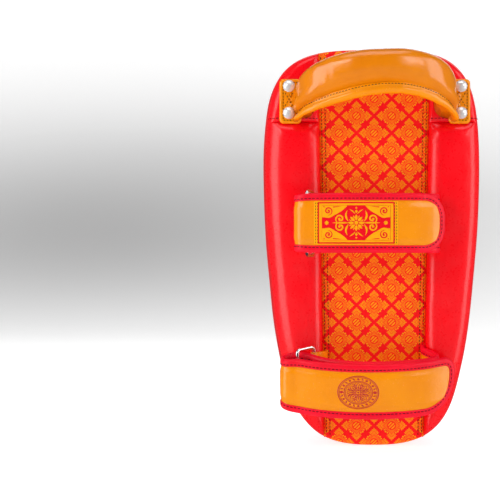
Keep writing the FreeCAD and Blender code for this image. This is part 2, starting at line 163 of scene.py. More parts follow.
def quarter(d, r):
    """A quarter circle's rise from 0 to 1 over distance r."""
    t = np.clip(np.asarray(d, float) / r, 0, 1)
    return np.sqrt(np.maximum(1 - (1 - t) ** 2, 0))


def soft_min(a, b, k):
    """The smaller of two depths, with the corner between them rounded off."""
    h = np.clip(0.5 + 0.5 * (b - a) / k, 0, 1)
    return b * (1 - h) + a * h - k * h * (1 - h)


# ---------------------------------------------------------------- mesh helpers
def linked(name, data):
    """A new object in the scene that shows data."""
    obj = bpy.data.objects.new(name, data)
    bpy.context.scene.collection.objects.link(obj)
    return obj


def smooth_mesh(name, points, faces, material):
    """A smooth mesh object from points in metres."""
    me = bpy.data.meshes.new(name)
    me.from_pydata([tuple(v) for v in points], [], faces)
    me.polygons.foreach_set("use_smooth", [True] * len(me.polygons))
    me.materials.append(material)
    return linked(name, me)


def new_mesh(name, verts, faces, material):
    """A mesh object from millimetre points, drawn in the drawing's own frame."""
    return smooth_mesh(name, (swayed(verts) + SHIFT) * MM, faces, material)


def swayed(verts):
    """Points of the pad's outer sides pushed a little to the left, as the padding lies."""
    p = np.array(verts, float)
    side = ramp(np.abs(p[:, 0]), 62, 28) * ramp(p[:, 1], -50, 12)
    p[:, 0] -= np.where(p[:, 0] < 0, SWAY_LEFT, SWAY_RIGHT) * eased(side)
    return p


def grid_faces(rows, cols, close_rows=False, close_cols=False, flip=False):
    """Quads over a grid of points stored row by row."""
    faces = []
    for i in range(rows if close_rows else rows - 1):
        for j in range(cols if close_cols else cols - 1):
            i1, j1 = (i + 1) % rows, (j + 1) % cols
            q = (i * cols + j, i * cols + j1, i1 * cols + j1, i1 * cols + j)
            faces.append(q[::-1] if flip else q)
    return faces


def thicken(obj, mm):
    """Gives a skin its thickness, inwards, and applies it."""
    mod = obj.modifiers.new("skin", "SOLIDIFY")
    mod.thickness = mm * MM
    mod.offset = -1
    apply_all(obj)


def apply_all(obj):
    """Applies every modifier of an object."""
    dg = bpy.context.evaluated_depsgraph_get()
    done = bpy.data.meshes.new_from_object(obj.evaluated_get(dg), depsgraph=dg)
    obj.modifiers.clear()
    obj.data = done


def join_soup(parts):
    """Several (verts, faces) as one."""
    verts, faces, base = [], [], 0
    for v, f in parts:
        verts.append(np.asarray(v, float))
        faces += [tuple(i + base for i in q) for q in f]
        base += len(v)
    return np.vstack(verts), faces


def unit(v):
    """Rows scaled to length 1."""
    v = np.asarray(v, float)
    n = np.linalg.norm(v, axis=-1, keepdims=True)
    return v / np.maximum(n, 1e-9)


# ---------------------------------------------------------------- stitches
# share of a stitch's half length and of its radius, ring by ring
STITCH = ((-1.0, 0.0), (-0.82, 0.6), (-0.4, 0.95), (0.0, 1.0), (0.4, 0.95), (0.82, 0.6), (1.0, 0.0))
SIDES = 6


def stitch_row(points, normals, pitch=3.6, length=2.7, radius=0.42, lift=0.12, sink=0.25):
    """Thread stitches laid along a line on a surface, each dipping at its ends."""
    points, normals = np.asarray(points, float), unit(normals)
    run = run_length(points)
    count = max(int(run[-1] / pitch), 1)
    parts = []
    for i in range(count):
        mid = (i + 0.5) * run[-1] / count
        verts = []
        for s, r in STITCH:
            u = mid + s * length / 2
            n = unit(along(normals, run, u))
            side = unit(np.cross(along(points, run, u + 0.1) - along(points, run, u - 0.1), n))
            c = along(points, run, u) + n * (lift - sink * s * s)
            if r == 0:
                verts.append(c)
                continue
            for a in range(SIDES):
                t = 2 * math.pi / SIDES * a
                verts.append(c + side * (radius * r * math.cos(t))
                             + n * (radius * r * math.sin(t)))
        rings = len(STITCH) - 2
        last = 1 + SIDES * rings
        faces = []
        for a in range(SIDES):
            b = (a + 1) % SIDES
            faces.append((0, 1 + a, 1 + b))
            faces.append((last, last - SIDES + b, last - SIDES + a))
            for low in range(1, last - SIDES, SIDES):
                faces.append((low + a, low + SIDES + a, low + SIDES + b, low + b))
        parts.append((verts, faces))
    return join_soup(parts)


# ---------------------------------------------------------------- materials
class Nodes:
    """A material's node tree, with short calls for the nodes used here."""

    def __init__(self, name):
        self.mat = bpy.data.materials.new(name)
        self.mat.use_nodes = True
        self.tree = self.mat.node_tree
        self.tree.nodes.clear()
        self.out = self.tree.nodes.new("ShaderNodeOutputMaterial")
        self.bsdf = self.tree.nodes.new("ShaderNodeBsdfPrincipled")
        self.tree.links.new(self.bsdf.outputs[0], self.out.inputs[0])

    def wire(self, value, socket):
        if isinstance(value, bpy.types.NodeSocket):
            self.tree.links.new(value, socket)
        else:
            socket.default_value = value

    def add_node(self, kind, inputs, **settings):
        """A new node with its settings and, by name or number, its inputs."""
        n = self.tree.nodes.new("ShaderNode" + kind)
        for key, value in settings.items():
            setattr(n, key, value)
        for key, value in inputs.items():
            self.wire(value, n.inputs[key])
        return n

    def math(self, op, a, b=0.0, c=0.0):
        return self.add_node("Math", {0: a, 1: b, 2: c}, operation=op).outputs[0]

    def mul(self, a, b):
        return self.math("MULTIPLY", a, b)

    def add(self, a, b):
        return self.math("ADD", a, b)

    def sub(self, a, b):
        return self.math("SUBTRACT", a, b)

    def most(self, a, b):
        return self.math("MAXIMUM", a, b)

    def sine(self, a, b):
        """Sine of a times b."""
        return self.math("SINE", self.mul(a, b))

    def length(self, a, b):
        """Length of the vector (a, b)."""
        return self.math("SQRT", self.add(self.mul(a, a), self.mul(b, b)))

    def step(self, value, edge, soft):
        """0 below edge, 1 above, over a band of width soft."""
        inputs = {"Value": value, "From Min": edge - soft / 2, "From Max": edge + soft / 2}
        return self.add_node("MapRange", inputs, interpolation_type="SMOOTHSTEP").outputs["Result"]

    def below(self, value, edge, soft):
        """1 below edge, 0 above, over a band of width soft."""
        return self.sub(1.0, self.step(value, edge, soft))

    def mix(self, factor, a, b):
        return self.add_node("Mix", {0: factor, 6: a, 7: b}, data_type="RGBA").outputs[2]

    def coords(self):
        return self.add_node("TexCoord", {}).outputs["Object"]

    def split(self, vector):
        return self.add_node("SeparateXYZ", {0: vector}).outputs

    def noise(self, vector, scale, detail=3.0, rough=0.5, distort=0.0):
        inputs = {"Vector": vector, "Scale": scale, "Detail": detail, "Roughness": rough,
                  "Distortion": distort}
        return self.add_node("TexNoise", inputs).outputs[0]

    def cells(self, vector, scale):
        return self.add_node("TexVoronoi", {"Vector": vector, "Scale": scale}).outputs["Distance"]

    def bump(self, height, strength, distance, normal=None):
        inputs = {"Strength": strength, "Distance": distance, "Height": height}
        if normal is not None:
            inputs["Normal"] = normal
        return self.add_node("Bump", inputs).outputs[0]

    def set(self, name, value):
        self.wire(value, self.bsdf.inputs[name])


def rgb(r, g, b):
    """A screen colour (0-255) as linear RGBA."""
    def lin(c):
        c /= 255
        return c / 12.92 if c <= 0.04045 else ((c + 0.055) / 1.055) ** 2.4
    return (lin(r), lin(g), lin(b), 1.0)


def leather(name, colour, shade, rough=0.33, coat=0.35, grain=900, depth=0.25, crease=0.3,
            spec=0.32):
    """Smooth coated leather with fine grain, creases and slight unevenness of colour."""
    n = Nodes(name)
    at = n.coords()
    n.set("Base Color", n.mix(n.step(n.noise(at, 22, 4, 0.6), 0.52, 0.5), shade, colour))
    pores = n.cells(at, grain)
    fine = n.noise(at, grain * 1.7, 4, 0.6)
    folds = n.noise(at, 95, 5, 0.62, 0.8)
    first = n.bump(n.math("MULTIPLY_ADD", pores, 0.7, n.mul(fine, 0.5)), depth, 0.0002)
    n.set("Normal", n.bump(folds, crease, 0.0009, first))
    scuff = n.step(n.noise(at, 160, 6, 0.7, 0.6), 0.66, 0.12)
    gloss = n.math("MULTIPLY_ADD", n.noise(at, 420, 3), 0.14, rough - 0.07)
    n.set("Roughness", n.math("MULTIPLY_ADD", scuff, 0.03, gloss))
    n.set("Specular IOR Level", spec)
    n.set("Coat Weight", coat)
    n.set("Coat Roughness", 0.15)
    return n.mat


THREAD_TURN = 6.28           # how far the sine that draws one thread turns, about 2 pi


def fabric(name, colour, shade, scale=900, rough=0.85, sheen=0.3, spec=0.3):
    """Woven or brushed cloth: crossed threads with a little fuzz."""
    n = Nodes(name)
    at = n.coords()
    x, y, z = n.split(at)
    turns = scale * THREAD_TURN
    weave = n.mul(n.sine(n.add(x, y), turns), n.sine(z, turns))
    height = n.math("MULTIPLY_ADD", weave, 0.3, n.noise(at, scale * 1.6, 4, 0.7))
    n.set("Base Color", n.mix(n.step(height, 0.5, 0.9), shade, colour))
    n.set("Normal", n.bump(height, 0.5, 0.0004))
    n.set("Roughness", rough)
    n.set("Sheen Weight", sheen)
    n.set("Specular IOR Level", spec)
    return n.mat


def foam(name, colour, shade, scale=500):
    """Open or closed cell foam."""
    n = Nodes(name)
    cell = n.cells(n.coords(), scale)
    n.set("Base Color", n.mix(n.step(cell, 0.35, 0.5), shade, colour))
    n.set("Normal", n.bump(cell, 0.6, 0.0006))
    n.set("Roughness", 0.9)
    return n.mat


def darker(colour, share):
    """The colour with its light cut to share."""
    return tuple(c * share for c in colour[:3]) + (1,)


def metal(name, colour, rough, brushed=0.25, metallic=1.0):
    """Plated or brushed metal with hairline scratches and faint dulling."""
    n = Nodes(name)
    at = n.coords()
    dull = n.noise(at, 260, 5, 0.65)
    n.set("Base Color", n.mix(n.step(dull, 0.45, 0.6), darker(colour, 0.82), colour))
    n.set("Metallic", metallic)
    n.set("Roughness", n.math("MULTIPLY_ADD", dull, 0.12, rough))
    n.set("Normal", n.bump(n.noise(at, 2600, 2, 0.5), brushed, 0.00005))
    return n.mat


def thread(name, colour):
    """Twisted sewing thread."""
    n = Nodes(name)
    x, y, z = n.split(n.coords())
    twist = n.sine(n.add(n.add(x, y), z), 9000)
    lit = n.math("MULTIPLY_ADD", twist, 0.25, 0.5)
    n.set("Base Color", n.mix(lit, darker(colour, 0.55), colour))
    n.set("Normal", n.bump(twist, 0.4, 0.0002))
    n.set("Roughness", 0.75)
    n.set("Specular IOR Level", 0.15)
    return n.mat


def ink(name, colour, shade):
    """Screen-printed ink, a little uneven over the leather's grain."""
    n = Nodes(name)
    at = n.coords()
    worn = n.step(n.noise(at, 300, 5, 0.7), 0.5, 0.5)
    n.set("Base Color", n.mix(worn, shade, colour))
    n.set("Roughness", n.math("MULTIPLY_ADD", worn, -0.1, 0.5))
    n.set("Normal", n.bump(n.cells(at, 900), 0.2, 0.0002))
    n.set("Coat Weight", 0.15)
    return n.mat


CELL_X, CELL_Z = 0.0336, 0.033     # width and height of one lozenge's cell, in metres
CELL_SHIFT = 0.0297                # puts a lozenge's middle where the photograph has one
STITCHES = 13                      # dots of thread across a cell
THREADS = 1500                     # threads of the weave to the metre
EDGE, FAN_EDGE, DISC_EDGE = 0.014, 0.016, 0.012   # softness of edges, as a share of the cell


def lattice(name):
    """The panel's woven pattern: a staggered lattice of stepped lozenges with striped discs."""
    n = Nodes(name)
    at = n.coords()
    x, _, z = n.split(at)
    u = n.mul(x, 1 / CELL_X)
    v = n.mul(n.add(z, CELL_SHIFT), 1 / CELL_Z)
    # a and b run along the lattice's diagonals; p and q are what is left within a cell
    a, b = n.add(u, v), n.sub(u, v)
    p, q = n.sub(a, n.math("ROUND", a)), n.sub(b, n.math("ROUND", b))
    size_p, size_q = n.math("ABSOLUTE", p), n.math("ABSOLUTE", q)
    far, near = n.most(size_p, size_q), n.math("MINIMUM", size_p, size_q)
    right, up = n.mul(n.add(p, q), 0.5), n.mul(n.sub(p, q), 0.5)
    radius = n.length(right, up)

    def band(value, low, high):
        return n.mul(n.step(value, low, EDGE), n.below(value, high, EDGE))

    def dot(side_on, out, size):
        return n.below(n.length(n.sub(far, out), n.sub(near, side_on)), size, EDGE)

    # the lozenge: a fan at each corner, a middle, both with stepped sides, and thin lines inside
    stepped = n.add(far, n.mul(n.sine(near, 72.0), 0.013))
    fan = n.mul(n.step(near, 0.15, FAN_EDGE), n.below(stepped, 0.43, FAN_EDGE))
    middle = n.below(stepped, 0.285, FAN_EDGE)
    cloth = n.most(fan, middle)
    lines = n.mul(n.most(band(far, 0.225, 0.243), band(far, 0.325, 0.343)), cloth)
    dots = n.most(dot(0.0, 0.345, 0.036), dot(0.085, 0.325, 0.03))
    # striped disc in a plain ring
    stripes = n.step(n.math("COSINE", n.mul(n.sub(right, up), 64.0)), 0.05, 0.5)
    disc = n.mul(n.below(radius, 0.098, DISC_EDGE), stripes)
    turns = 2 * math.pi * STITCHES
    stitch = n.step(n.mul(n.sine(a, turns), n.sine(b, turns)), 0.05, 0.5)

    ground, line_red, gold = rgb(250, 12, 22), rgb(255, 40, 20), rgb(255, 176, 8)
    colour = n.mix(n.step(n.noise(at, 240, 3), 0.5, 0.4), ground, rgb(255, 24, 26))
    colour = n.mix(fan, colour, n.mix(stitch, rgb(255, 108, 14), gold))
    colour = n.mix(middle, colour, n.mix(stitch, rgb(255, 100, 18), rgb(255, 142, 12)))
    colour = n.mix(lines, colour, line_red)
    colour = n.mix(dots, colour, gold)
    colour = n.mix(n.below(radius, 0.128, EDGE), colour, rgb(255, 40, 18))
    colour = n.mix(disc, colour, gold)
    raised = n.most(n.most(fan, n.mul(middle, 0.6)), n.most(dots, disc))
    # the weave itself
    turns = 2 * math.pi * THREADS
    weave = n.math("MULTIPLY_ADD", n.mul(n.sine(x, turns), n.sine(z, turns)), 0.5, 0.5)
    n.set("Base Color", n.mix(n.mul(weave, 0.1), colour, ground))
    height = n.math("MULTIPLY_ADD", raised, 0.8, n.mul(weave, 0.35))
    height = n.math("MULTIPLY_ADD", n.noise(at, 1800, 3), 0.3, height)
    n.set("Normal", n.bump(height, 0.45, 0.0003))
    n.set("Roughness", n.math("MULTIPLY_ADD", raised, -0.1, 0.62))
    n.set("Specular IOR Level", 0.14)
    return n.mat


RED = leather("red_leather", rgb(255, 2, 20), rgb(244, 0, 16), rough=0.31, coat=0.2,
              depth=0.14)
RED_SIDE = leather("red_side_leather", rgb(252, 2, 20), rgb(236, 0, 15), rough=0.38, coat=0.15)
RED_BACK = leather("red_back_leather", rgb(255, 1, 22), rgb(246, 0, 18), rough=0.29, coat=0.22,
                   depth=0.12, crease=0.25)
GOLD = leather("golden_leather", rgb(249, 151, 0), rgb(240, 138, 0), rough=0.25, coat=0.3,
               crease=0.5)
GOLD_ROLL = leather("golden_grip_leather", rgb(234, 134, 0), rgb(222, 121, 0), rough=0.22,
                    coat=0.45, grain=1300, depth=0.1, crease=0.3, spec=0.4)
CRIMSON = leather("crimson_binding", rgb(250, 0, 42), rgb(232, 0, 36), rough=0.44, coat=0.08,
                  grain=1200, crease=0.4, spec=0.2)
PATTERN = lattice("patterned_weave")
LOOP = fabric("loop_fabric", rgb(190, 20, 30), rgb(120, 8, 14), 700, 0.95, 0.6)
HOOK = fabric("hook_fabric", rgb(150, 14, 22), rgb(80, 4, 8), 500, 0.8, 0.2)
WEBBING = fabric("black_webbing", rgb(40, 40, 44), rgb(16, 16, 18), 400)
FOAM_A = foam("strike_foam", rgb(70, 70, 76), rgb(40, 40, 44), 420)
FOAM_B = foam("core_foam", rgb(44, 44, 48), rgb(24, 24, 26), 640)
FOAM_C = foam("soft_foam", rgb(226, 220, 200), rgb(190, 182, 160), 360)
STIFF = leather("stiffener_board", rgb(52, 48, 44), rgb(30, 28, 26), rough=0.6, coat=0.0)
CHROME = metal("rivet_chrome", (0.98, 0.98, 0.99, 1), 0.08, 0.1, 0.35)
STEEL = metal("ring_steel", (0.78, 0.78, 0.80, 1), 0.12, 0.3)
BURR = metal("burr_steel", (0.62, 0.62, 0.64, 1), 0.3, 0.6)
RED_THREAD = thread("red_thread", rgb(140, 0, 16))
DARK_THREAD = thread("brown_thread", rgb(70, 22, 0))
PINK_THREAD = thread("crimson_thread", rgb(122, 0, 30))
LABEL_GOLD = fabric("label_gold_weave", rgb(255, 178, 0), rgb(250, 160, 0), 1500, 0.7, 0.0, 0.15)
LABEL_RED = fabric("label_red_weave", rgb(248, 0, 26), rgb(226, 0, 22), 1500, 0.7, 0.0, 0.15)
GOLD_INK = ink("golden_ink", rgb(255, 158, 4), rgb(250, 146, 0))
RED_INK = ink("red_ink", rgb(208, 36, 10), rgb(190, 26, 8))


# ---------------------------------------------------------------- the pad's skins
def place(body, obj, slot_name, *nodes):
    """Puts a piece on its body and hides the nodes it stands for; slot_name, the name of its finish,
    is not used.
    """
    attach(obj, body)
    if nodes:
        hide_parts(*nodes)
    return obj


WELD, FINE_WELD = 0.02, 0.01


def weld(obj, mm=WELD):
    """Joins doubled points and drops the faces that collapse."""
    bm = bmesh.new()
    bm.from_mesh(obj.data)
    bmesh.ops.remove_doubles(bm, verts=bm.verts, dist=mm * MM)
    bmesh.ops.dissolve_degenerate(bm, edges=bm.edges, dist=mm * MM * 0.5)
    bmesh.ops.recalc_face_normals(bm, faces=bm.faces)
    bm.to_mesh(obj.data)
    bm.free()
    for f in obj.data.polygons:
        f.use_smooth = True


def skin(name, rows, material, thickness, close=False, flip=False):
    """A welded sheet through rows of points, with its thickness inwards."""
    faces = grid_faces(len(rows), len(rows[0]), False, close, flip)
    obj = new_mesh(name, np.vstack(rows), faces, material)
    weld(obj)
    thicken(obj, thickness)
    return obj


def rim_row(inward, y):
    """The outline drawn in by inward, at depth y."""
    flat = RING + RING_N * np.reshape(inward, (-1, 1))
    return np.column_stack([flat[:, 0], np.full(len(RING), y), flat[:, 1]])


def rim_folds(along, size, seed):
    """Smooth noise that runs round the outline without a break."""
    turn = np.arange(len(RING)) / len(RING) * 2 * math.pi
    return wave(np.cos(turn) * 60, np.sin(turn) * 60, 0 * turn + along, size, seed)


STRIKE_CROWN = 2.0                   # how much fuller the strike face's middle is than its rim
MIDDLE_Z, HALF_X, HALF_Z = 196.4, 102.4, 190.6
RIM_R = 24                           # radius of the strike face's rounded rim
SPINE_Z = (106, 285)                 # the line down the middle where its rows of points meet


def strike_y(x, z):
    """Height of the strike face over a point of the plan."""
    d = edge_distance(x, z)
    crown = STRIKE_CROWN * np.clip(1 - (x / HALF_X) ** 2, 0, 1) \
        * np.clip(1 - ((z - MIDDLE_Z) / HALF_Z) ** 2, 0, 1)
    soft = 0.35 * wave(x, 0, z, 60, 3.1) * np.clip(d / 30, 0, 1)
    return FRONT_SEAM + (FRONT_Y - FRONT_SEAM) * quarter(d, RIM_R) + crown + soft


def strike_cover():
    """The smooth strike face, drawn over the rim to its seam."""
    rows = [rim_row(inward, y) for inward, y in ((2.8, 26.6), (1.4, 26.3), (0.45, 26.8))]
    for d in RIM_R * (1 - np.cos(np.radians([*range(4, 91, 6), 90]))):
        row = rim_row(d, 0.0)
        row[:, 1] = strike_y(row[:, 0], row[:, 2])
        pull = 0.42 * rim_folds(0.0, 3.2, 7.0) * math.exp(-d / 2.5)
        row[:, ::2] += RING_N * pull[:, None]
        rows.append(row)
    last = rows[-1]
    for t in np.linspace(0, 1, 34)[1:]:
        x = last[:, 0] * (1 - t)
        z = last[:, 2] * (1 - t) + np.clip(RING[:, 1], *SPINE_Z) * t
        rows.append(np.column_stack([x, strike_y(x, z), z]))
    return skin("strike_leather_cover", rows, RED, 1.5, close=True)


def gusset():
    """The side band between the two seams, a little full between them."""
    profile = [(2.8, 25.4), (1.4, 25.7), (0.45, 25.2)]
    profile += [(-1.3 * math.sin(math.pi * ((y + 28) / 52)) ** 0.7, y)
                for y in np.linspace(24, -28, 19)]
    profile += [(0.45, -29.2), (1.4, -29.7), (2.8, -29.4)]
    rows = []
    for inward, y in profile:
        near = math.exp(-min(abs(y - 26), abs(y + 30)) / 4)
        pull = 0.35 * rim_folds(y / 9, 3.4, 2.0) * near
        pull = pull + 0.3 * wave(RING[:, 0], y, RING[:, 1], 38, 5.0)
        rows.append(rim_row(inward + (pull if inward <= 1 else 0), y))
    return skin("side_leather_gusset", rows, RED_SIDE, 1.3, close=True, flip=True)


def panel_depth(x, z):
    """How far behind y = 0 the patterned panel lies."""
    d = edge_distance(x, z)
    half = panel_half(z)
    side = np.maximum(half - np.abs(x), 0)
    pad = 0.9 * (1 - np.clip(np.abs(x) / half, 0, 1) ** 4)
    seam = 1.3 * np.exp(-side / 1.6)
    soft = 0.35 * wave(x, 0, z, 34, 9.0)
    flat = soft_min(32 + 20 * quarter(d, 20), 40.0 + 0 * d, 2.0)
    return flat + (pad - seam + soft) * np.clip(d / 12, 0, 1)


def outline_z(x, top):
    """Height of the outline's lower or upper edge over x."""
    pts = RING[:361]
    side = pts[pts[:, 1] > 200] if top else pts[pts[:, 1] < 200][:160]
    order = np.argsort(side[:, 0])
    return np.interp(np.abs(x), side[order, 0], side[order, 1])


def channel_panel():
    """The patterned panel along the middle of the strap side."""
    cols = np.sin(np.linspace(-math.pi / 2, math.pi / 2, 45))
    low, high = cols * panel_half(PANEL_LOW), cols * panel_half(PANEL_HIGH)
    z_low, z_high = outline_z(low, False), outline_z(high, True)
    curl = [20 * (1 - math.cos(math.radians(a))) for a in range(0, 91, 9)]
    rows = [np.column_stack([low, 0 * low, z_low + d]) for d in curl]
    for t in np.linspace(0, 1, 112)[1:-1]:
        z = z_low + 20 + (z_high - z_low - 40) * t
        rows.append(np.column_stack([low * (1 - t) + high * t, 0 * z, z]))
    rows += [np.column_stack([high, 0 * high, z_high - d]) for d in reversed(curl)]
    for r in rows:
        r[:, 1] = -panel_depth(r[:, 0], r[:, 2])
    for inward, y in ((1.2, -30.0), (2.6, -29.4)):
        rows.insert(0, np.column_stack([low, 0 * low + y, z_low + inward]))
        rows.append(np.column_stack([high, 0 * high + y, z_high - inward]))
    return skin("patterned_panel", rows, PATTERN, 1.0, flip=True)


def crest(z, top):
    """Depth of the fullest part of a bolster or top panel at height z."""
    z = np.asarray(z, float)
    if top:
        return 43.2 + 2.8 * quarter(z - CROSS_SEAM_Z, 8)
    return 40 + 12 * (0.27 + 0.73 * quarter(CROSS_SEAM_Z - z, 15))


def side_depth(x, z, top):
    """How far behind y = 0 the side padding lies; x is positive."""
    d_out = edge_distance(x, z)
    d_in = np.maximum(x - panel_half(z), 0)
    high = crest(z, top)
    inner = 40 + (high - 40) * quarter(d_in, 8 if top else 16)
    outer = 32 + 20 * quarter(d_out, 21)
    return soft_min(inner, outer, 2.4)


PRESSED_X, PRESSED_Z = (78.1, 13.0), (335.5, 21.6)    # middle and half size of the pressed patch
PRESSED_DEPTH, PRESSED_SLOPE = 45.9, 1.2


def under_tabs(x, z, depth):
    """A depth held back where an end tab is riveted down on the padding."""
    dx = np.maximum(np.abs(np.abs(x) - PRESSED_X[0]) - PRESSED_X[1], 0)
    dz = np.maximum(np.abs(z - PRESSED_Z[0]) - PRESSED_Z[1], 0)
    return np.minimum(depth, PRESSED_DEPTH + PRESSED_SLOPE * np.sqrt(dx * dx + dz * dz))


def swell(obj, cap, free, hold=None):
    """Blows a sewn skin up like a filled pad by cloth simulation, then fixes the result."""
    scene = bpy.context.scene
    n = len(obj.data.vertices)
    was = np.empty(n * 3)
    obj.data.vertices.foreach_get("co", was)
    was = was.reshape(-1, 3)
    drawn = was / MM - SHIFT
    pins = obj.vertex_groups.new(name="pins")
    loose = np.clip(free(drawn), 0, 1)
    for i, weight in enumerate(1 - loose):
        pins.add([i], float(weight), "REPLACE")
    mod = obj.modifiers.new("cloth", "CLOTH")
    cloth = mod.settings
    cloth.vertex_group_mass = "pins"
    cloth.quality = 6
    cloth.mass = 0.4
    cloth.tension_stiffness = cloth.compression_stiffness = 25
    cloth.shear_stiffness = 10
    cloth.bending_stiffness = 4.0
    cloth.use_pressure = True
    cloth.uniform_pressure_force = 4.0
    cloth.shrink_min = -0.003
    cloth.effector_weights.gravity = 0.0
    mod.collision_settings.use_self_collision = False
    mod.point_cache.frame_start, mod.point_cache.frame_end = 1, 20
    for frame_number in range(1, 21):
        scene.frame_set(frame_number)
    dg = bpy.context.evaluated_depsgraph_get()
    done = obj.evaluated_get(dg).to_mesh()
    now = np.empty(n * 3)
    done.vertices.foreach_get("co", now)
    obj.evaluated_get(dg).to_mesh_clear()
    obj.modifiers.clear()
    obj.vertex_groups.clear()
    scene.frame_set(1)
    move = now.reshape(-1, 3) - was
    far = np.linalg.norm(move, axis=1)
    move *= (np.minimum(far, cap * MM) / np.maximum(far, 1e-9))[:, None]
    ends = np.array([e.vertices[:] for e in obj.data.edges])
    for _ in range(8):
        total, count = move.copy(), np.ones(n)
        for a, b in ((0, 1), (1, 0)):
            np.add.at(total, ends[:, a], move[ends[:, b]])
            np.add.at(count, ends[:, a], 1)
        move = total / count[:, None] * loose[:, None] ** 0.25
    now = was + move
    now[:, 1] = np.minimum(now[:, 1], was[:, 1] + 0.1 * MM)
    if hold is not None:
        now = (hold(now / MM - SHIFT) + SHIFT) * MM
    obj.data.vertices.foreach_set("co", now.ravel())
    obj.data.update()


def side_pad(name, top, mirror, seed):
    """One padded side panel, from its inner seam over its crest to the outer seam."""
    z0, z1 = (CROSS_SEAM_Z, PANEL_HIGH) if top else (PANEL_LOW, CROSS_SEAM_Z)
    run = RIGHT[(RIGHT[:, 1] > z0) & (RIGHT[:, 1] < z1)]
    zs = run[::1 if top else 2, 1]
    end = quarter_steps(9 if top else 16, 9)
    if top:
        zs = np.concatenate([z0 + end, zs[zs > z0 + end[-1]], [z1]])
    else:
        zs = np.concatenate([[z0], zs[zs < z1 - end[-1]], z1 - end[::-1]])
    count = 53
    g = (1 - np.cos(np.linspace(0, math.pi, count))) / 2
    rows = []
    for z in zs:
        xi = float(panel_half(z))
        xo = max(float(np.interp(z, RIGHT[:, 1], RIGHT[:, 0])), xi + 0.02)
        rows.append(np.column_stack([xi + (xo - xi) * g, np.zeros(count), np.full(count, z)]))
    pts = np.array(rows)
    x, z = pts[..., 0], pts[..., 2]
    depth = side_depth(x, z, top)
    d_in = x - panel_half(z)
    d_out = edge_distance(x, z)
    d_end = np.abs(z - CROSS_SEAM_Z)
    near = np.minimum(np.minimum(d_in, d_out), d_end * 1.2)
    roomy = np.clip(near / 5, 0, 1)
    pucker = 0
    for d, fade, folds in ((d_in, 8, wave(x * 0.35, 0, z, 6.5, seed)),
                           (d_out, 8, wave(x * 0.35, 0, z, 7.5, seed + 4)),
                           (d_end, 7, wave(x, 0, z * 0.3, 6.0, seed + 8))):
        pucker = pucker + folds * np.exp(-d / fade) * ramp(d, 0, 2)
    broad = wave(x * 1.2, 0, z, 46, seed + 12)
    depth = depth + roomy * (0.75 * broad + 0.8 * pucker)
    pts[..., 1] = -under_tabs(x, z, depth)
    # the seams turned in: at the channel, at the gusset and at the cross seam
    inner = pts[:, :1].copy()
    inner[..., 0] -= 0.2
    inner[..., 1] = -38.4
    nearest = [int(np.argmin((RIGHT[:, 0] - a) ** 2 + (RIGHT[:, 1] - b) ** 2))
               for a, b in pts[:, -1, ::2]]
    turned_in = []
    for inward, y in ((0.0, -31.2), (0.9, -30.2), (2.6, -30.6)):
        lip = pts[:, -1:].copy()
        lip[:, 0, ::2] += RING_N[nearest] * inward
        lip[..., 1] = y
        turned_in.append(lip)
    pts = np.concatenate([inner, pts] + turned_in, axis=1)
    cross = (pts[:1] if top else pts[-1:]).copy()
    cross[..., 1] = np.clip(cross[..., 1] + 2.2, -44, -30.2)
    cross[..., 2] += -0.3 if top else 0.3
    pts = np.concatenate([cross, pts] if top else [pts, cross])
    if mirror:
        pts[..., 0] *= -1
    faces = grid_faces(*pts.shape[:2], flip=not mirror)
    obj = new_mesh(name, pts.reshape(-1, 3), faces, RED_BACK)
    weld(obj)

    def free(p):
        ax = np.abs(p[:, 0])
        near = np.minimum(ax - panel_half(p[:, 2]), edge_distance(ax, p[:, 2]))
        near = np.minimum(near, np.abs(p[:, 2] - CROSS_SEAM_Z))
        return np.where(p[:, 1] > -33.5, 0, (near - 1.0) / 13)

    def hold(p):
        p[:, 1] = -under_tabs(p[:, 0], p[:, 2], -p[:, 1])
        return p

    swell(obj, 0.8 if top else 1.4, free, hold)
    thicken(obj, 1.4)
    return obj


def quarter_steps(r, count):
    """Distances from an edge, close together where a quarter circle is steep."""
    return np.array([r * (1 - math.cos(math.pi / 2 * i / (count - 1))) for i in range(count)])


# ---------------------------------------------------------------- handle
GRIP_TURNS = np.linspace(-math.pi / 2, math.pi / 2, 81)   # angles round the grip's arch
ARCH = np.array([66.0, 45.0, 22.0])          # half span, reach off the pad and rise of the arch
GRIP_FOOT = np.array([0.0, -50.0, 338.0])    # middle of the line between the arch's two feet
GRIP_ROOT = 12.0                             # how far the grip runs on towards the pad
ROLL_SEAT_Y, FLANGE_SEAT_Y = -46.3, -48.9    # nearest to the pad that roll and flange come
LEAN, SPLAY = 2.8, 9.0


def grip_frame(t):
    """Centre, run, side and up direction of the grip at angle t round its arch."""
    lift, lean = math.cos(t), math.sin(t)
    centre = GRIP_FOOT + ARCH * np.array([lean, -lift, lift])
    along = unit(ARCH * np.array([lift, lean, -lean]))
    up = unit(np.array([0, 0, 1.0]) - along * along[2])
    return centre, along, unit(np.cross(along, up)), up


def narrowing(t):
    """The grip's width at angle t, as a share of its width in the middle."""
    return 1 - 0.24 * abs(math.sin(t)) ** 3


def grip_rows():
    """The roll's section swept along the grip, out to its roots in the pad."""
    rows = []
    for t in GRIP_TURNS:
        c, run, side, up = grip_frame(t)
        pts = grip_section(t)
        row = c + pts[:, :1] * side + pts[:, 1:] * up
        if abs(t) == GRIP_TURNS[-1]:
            neck = ramp(-pts[:, 1:], 16, 2)
            row += GRIP_ROOT * (neck * np.array([0, 1, 0])
                                + (1 - neck) * run * math.copysign(1, t))
        row[:, 0] += splay(t, pts[:, 0], pts[:, 1])
        row[:, 2] += lean(t, pts[:, 1])
        rows.append(row)
    return rows


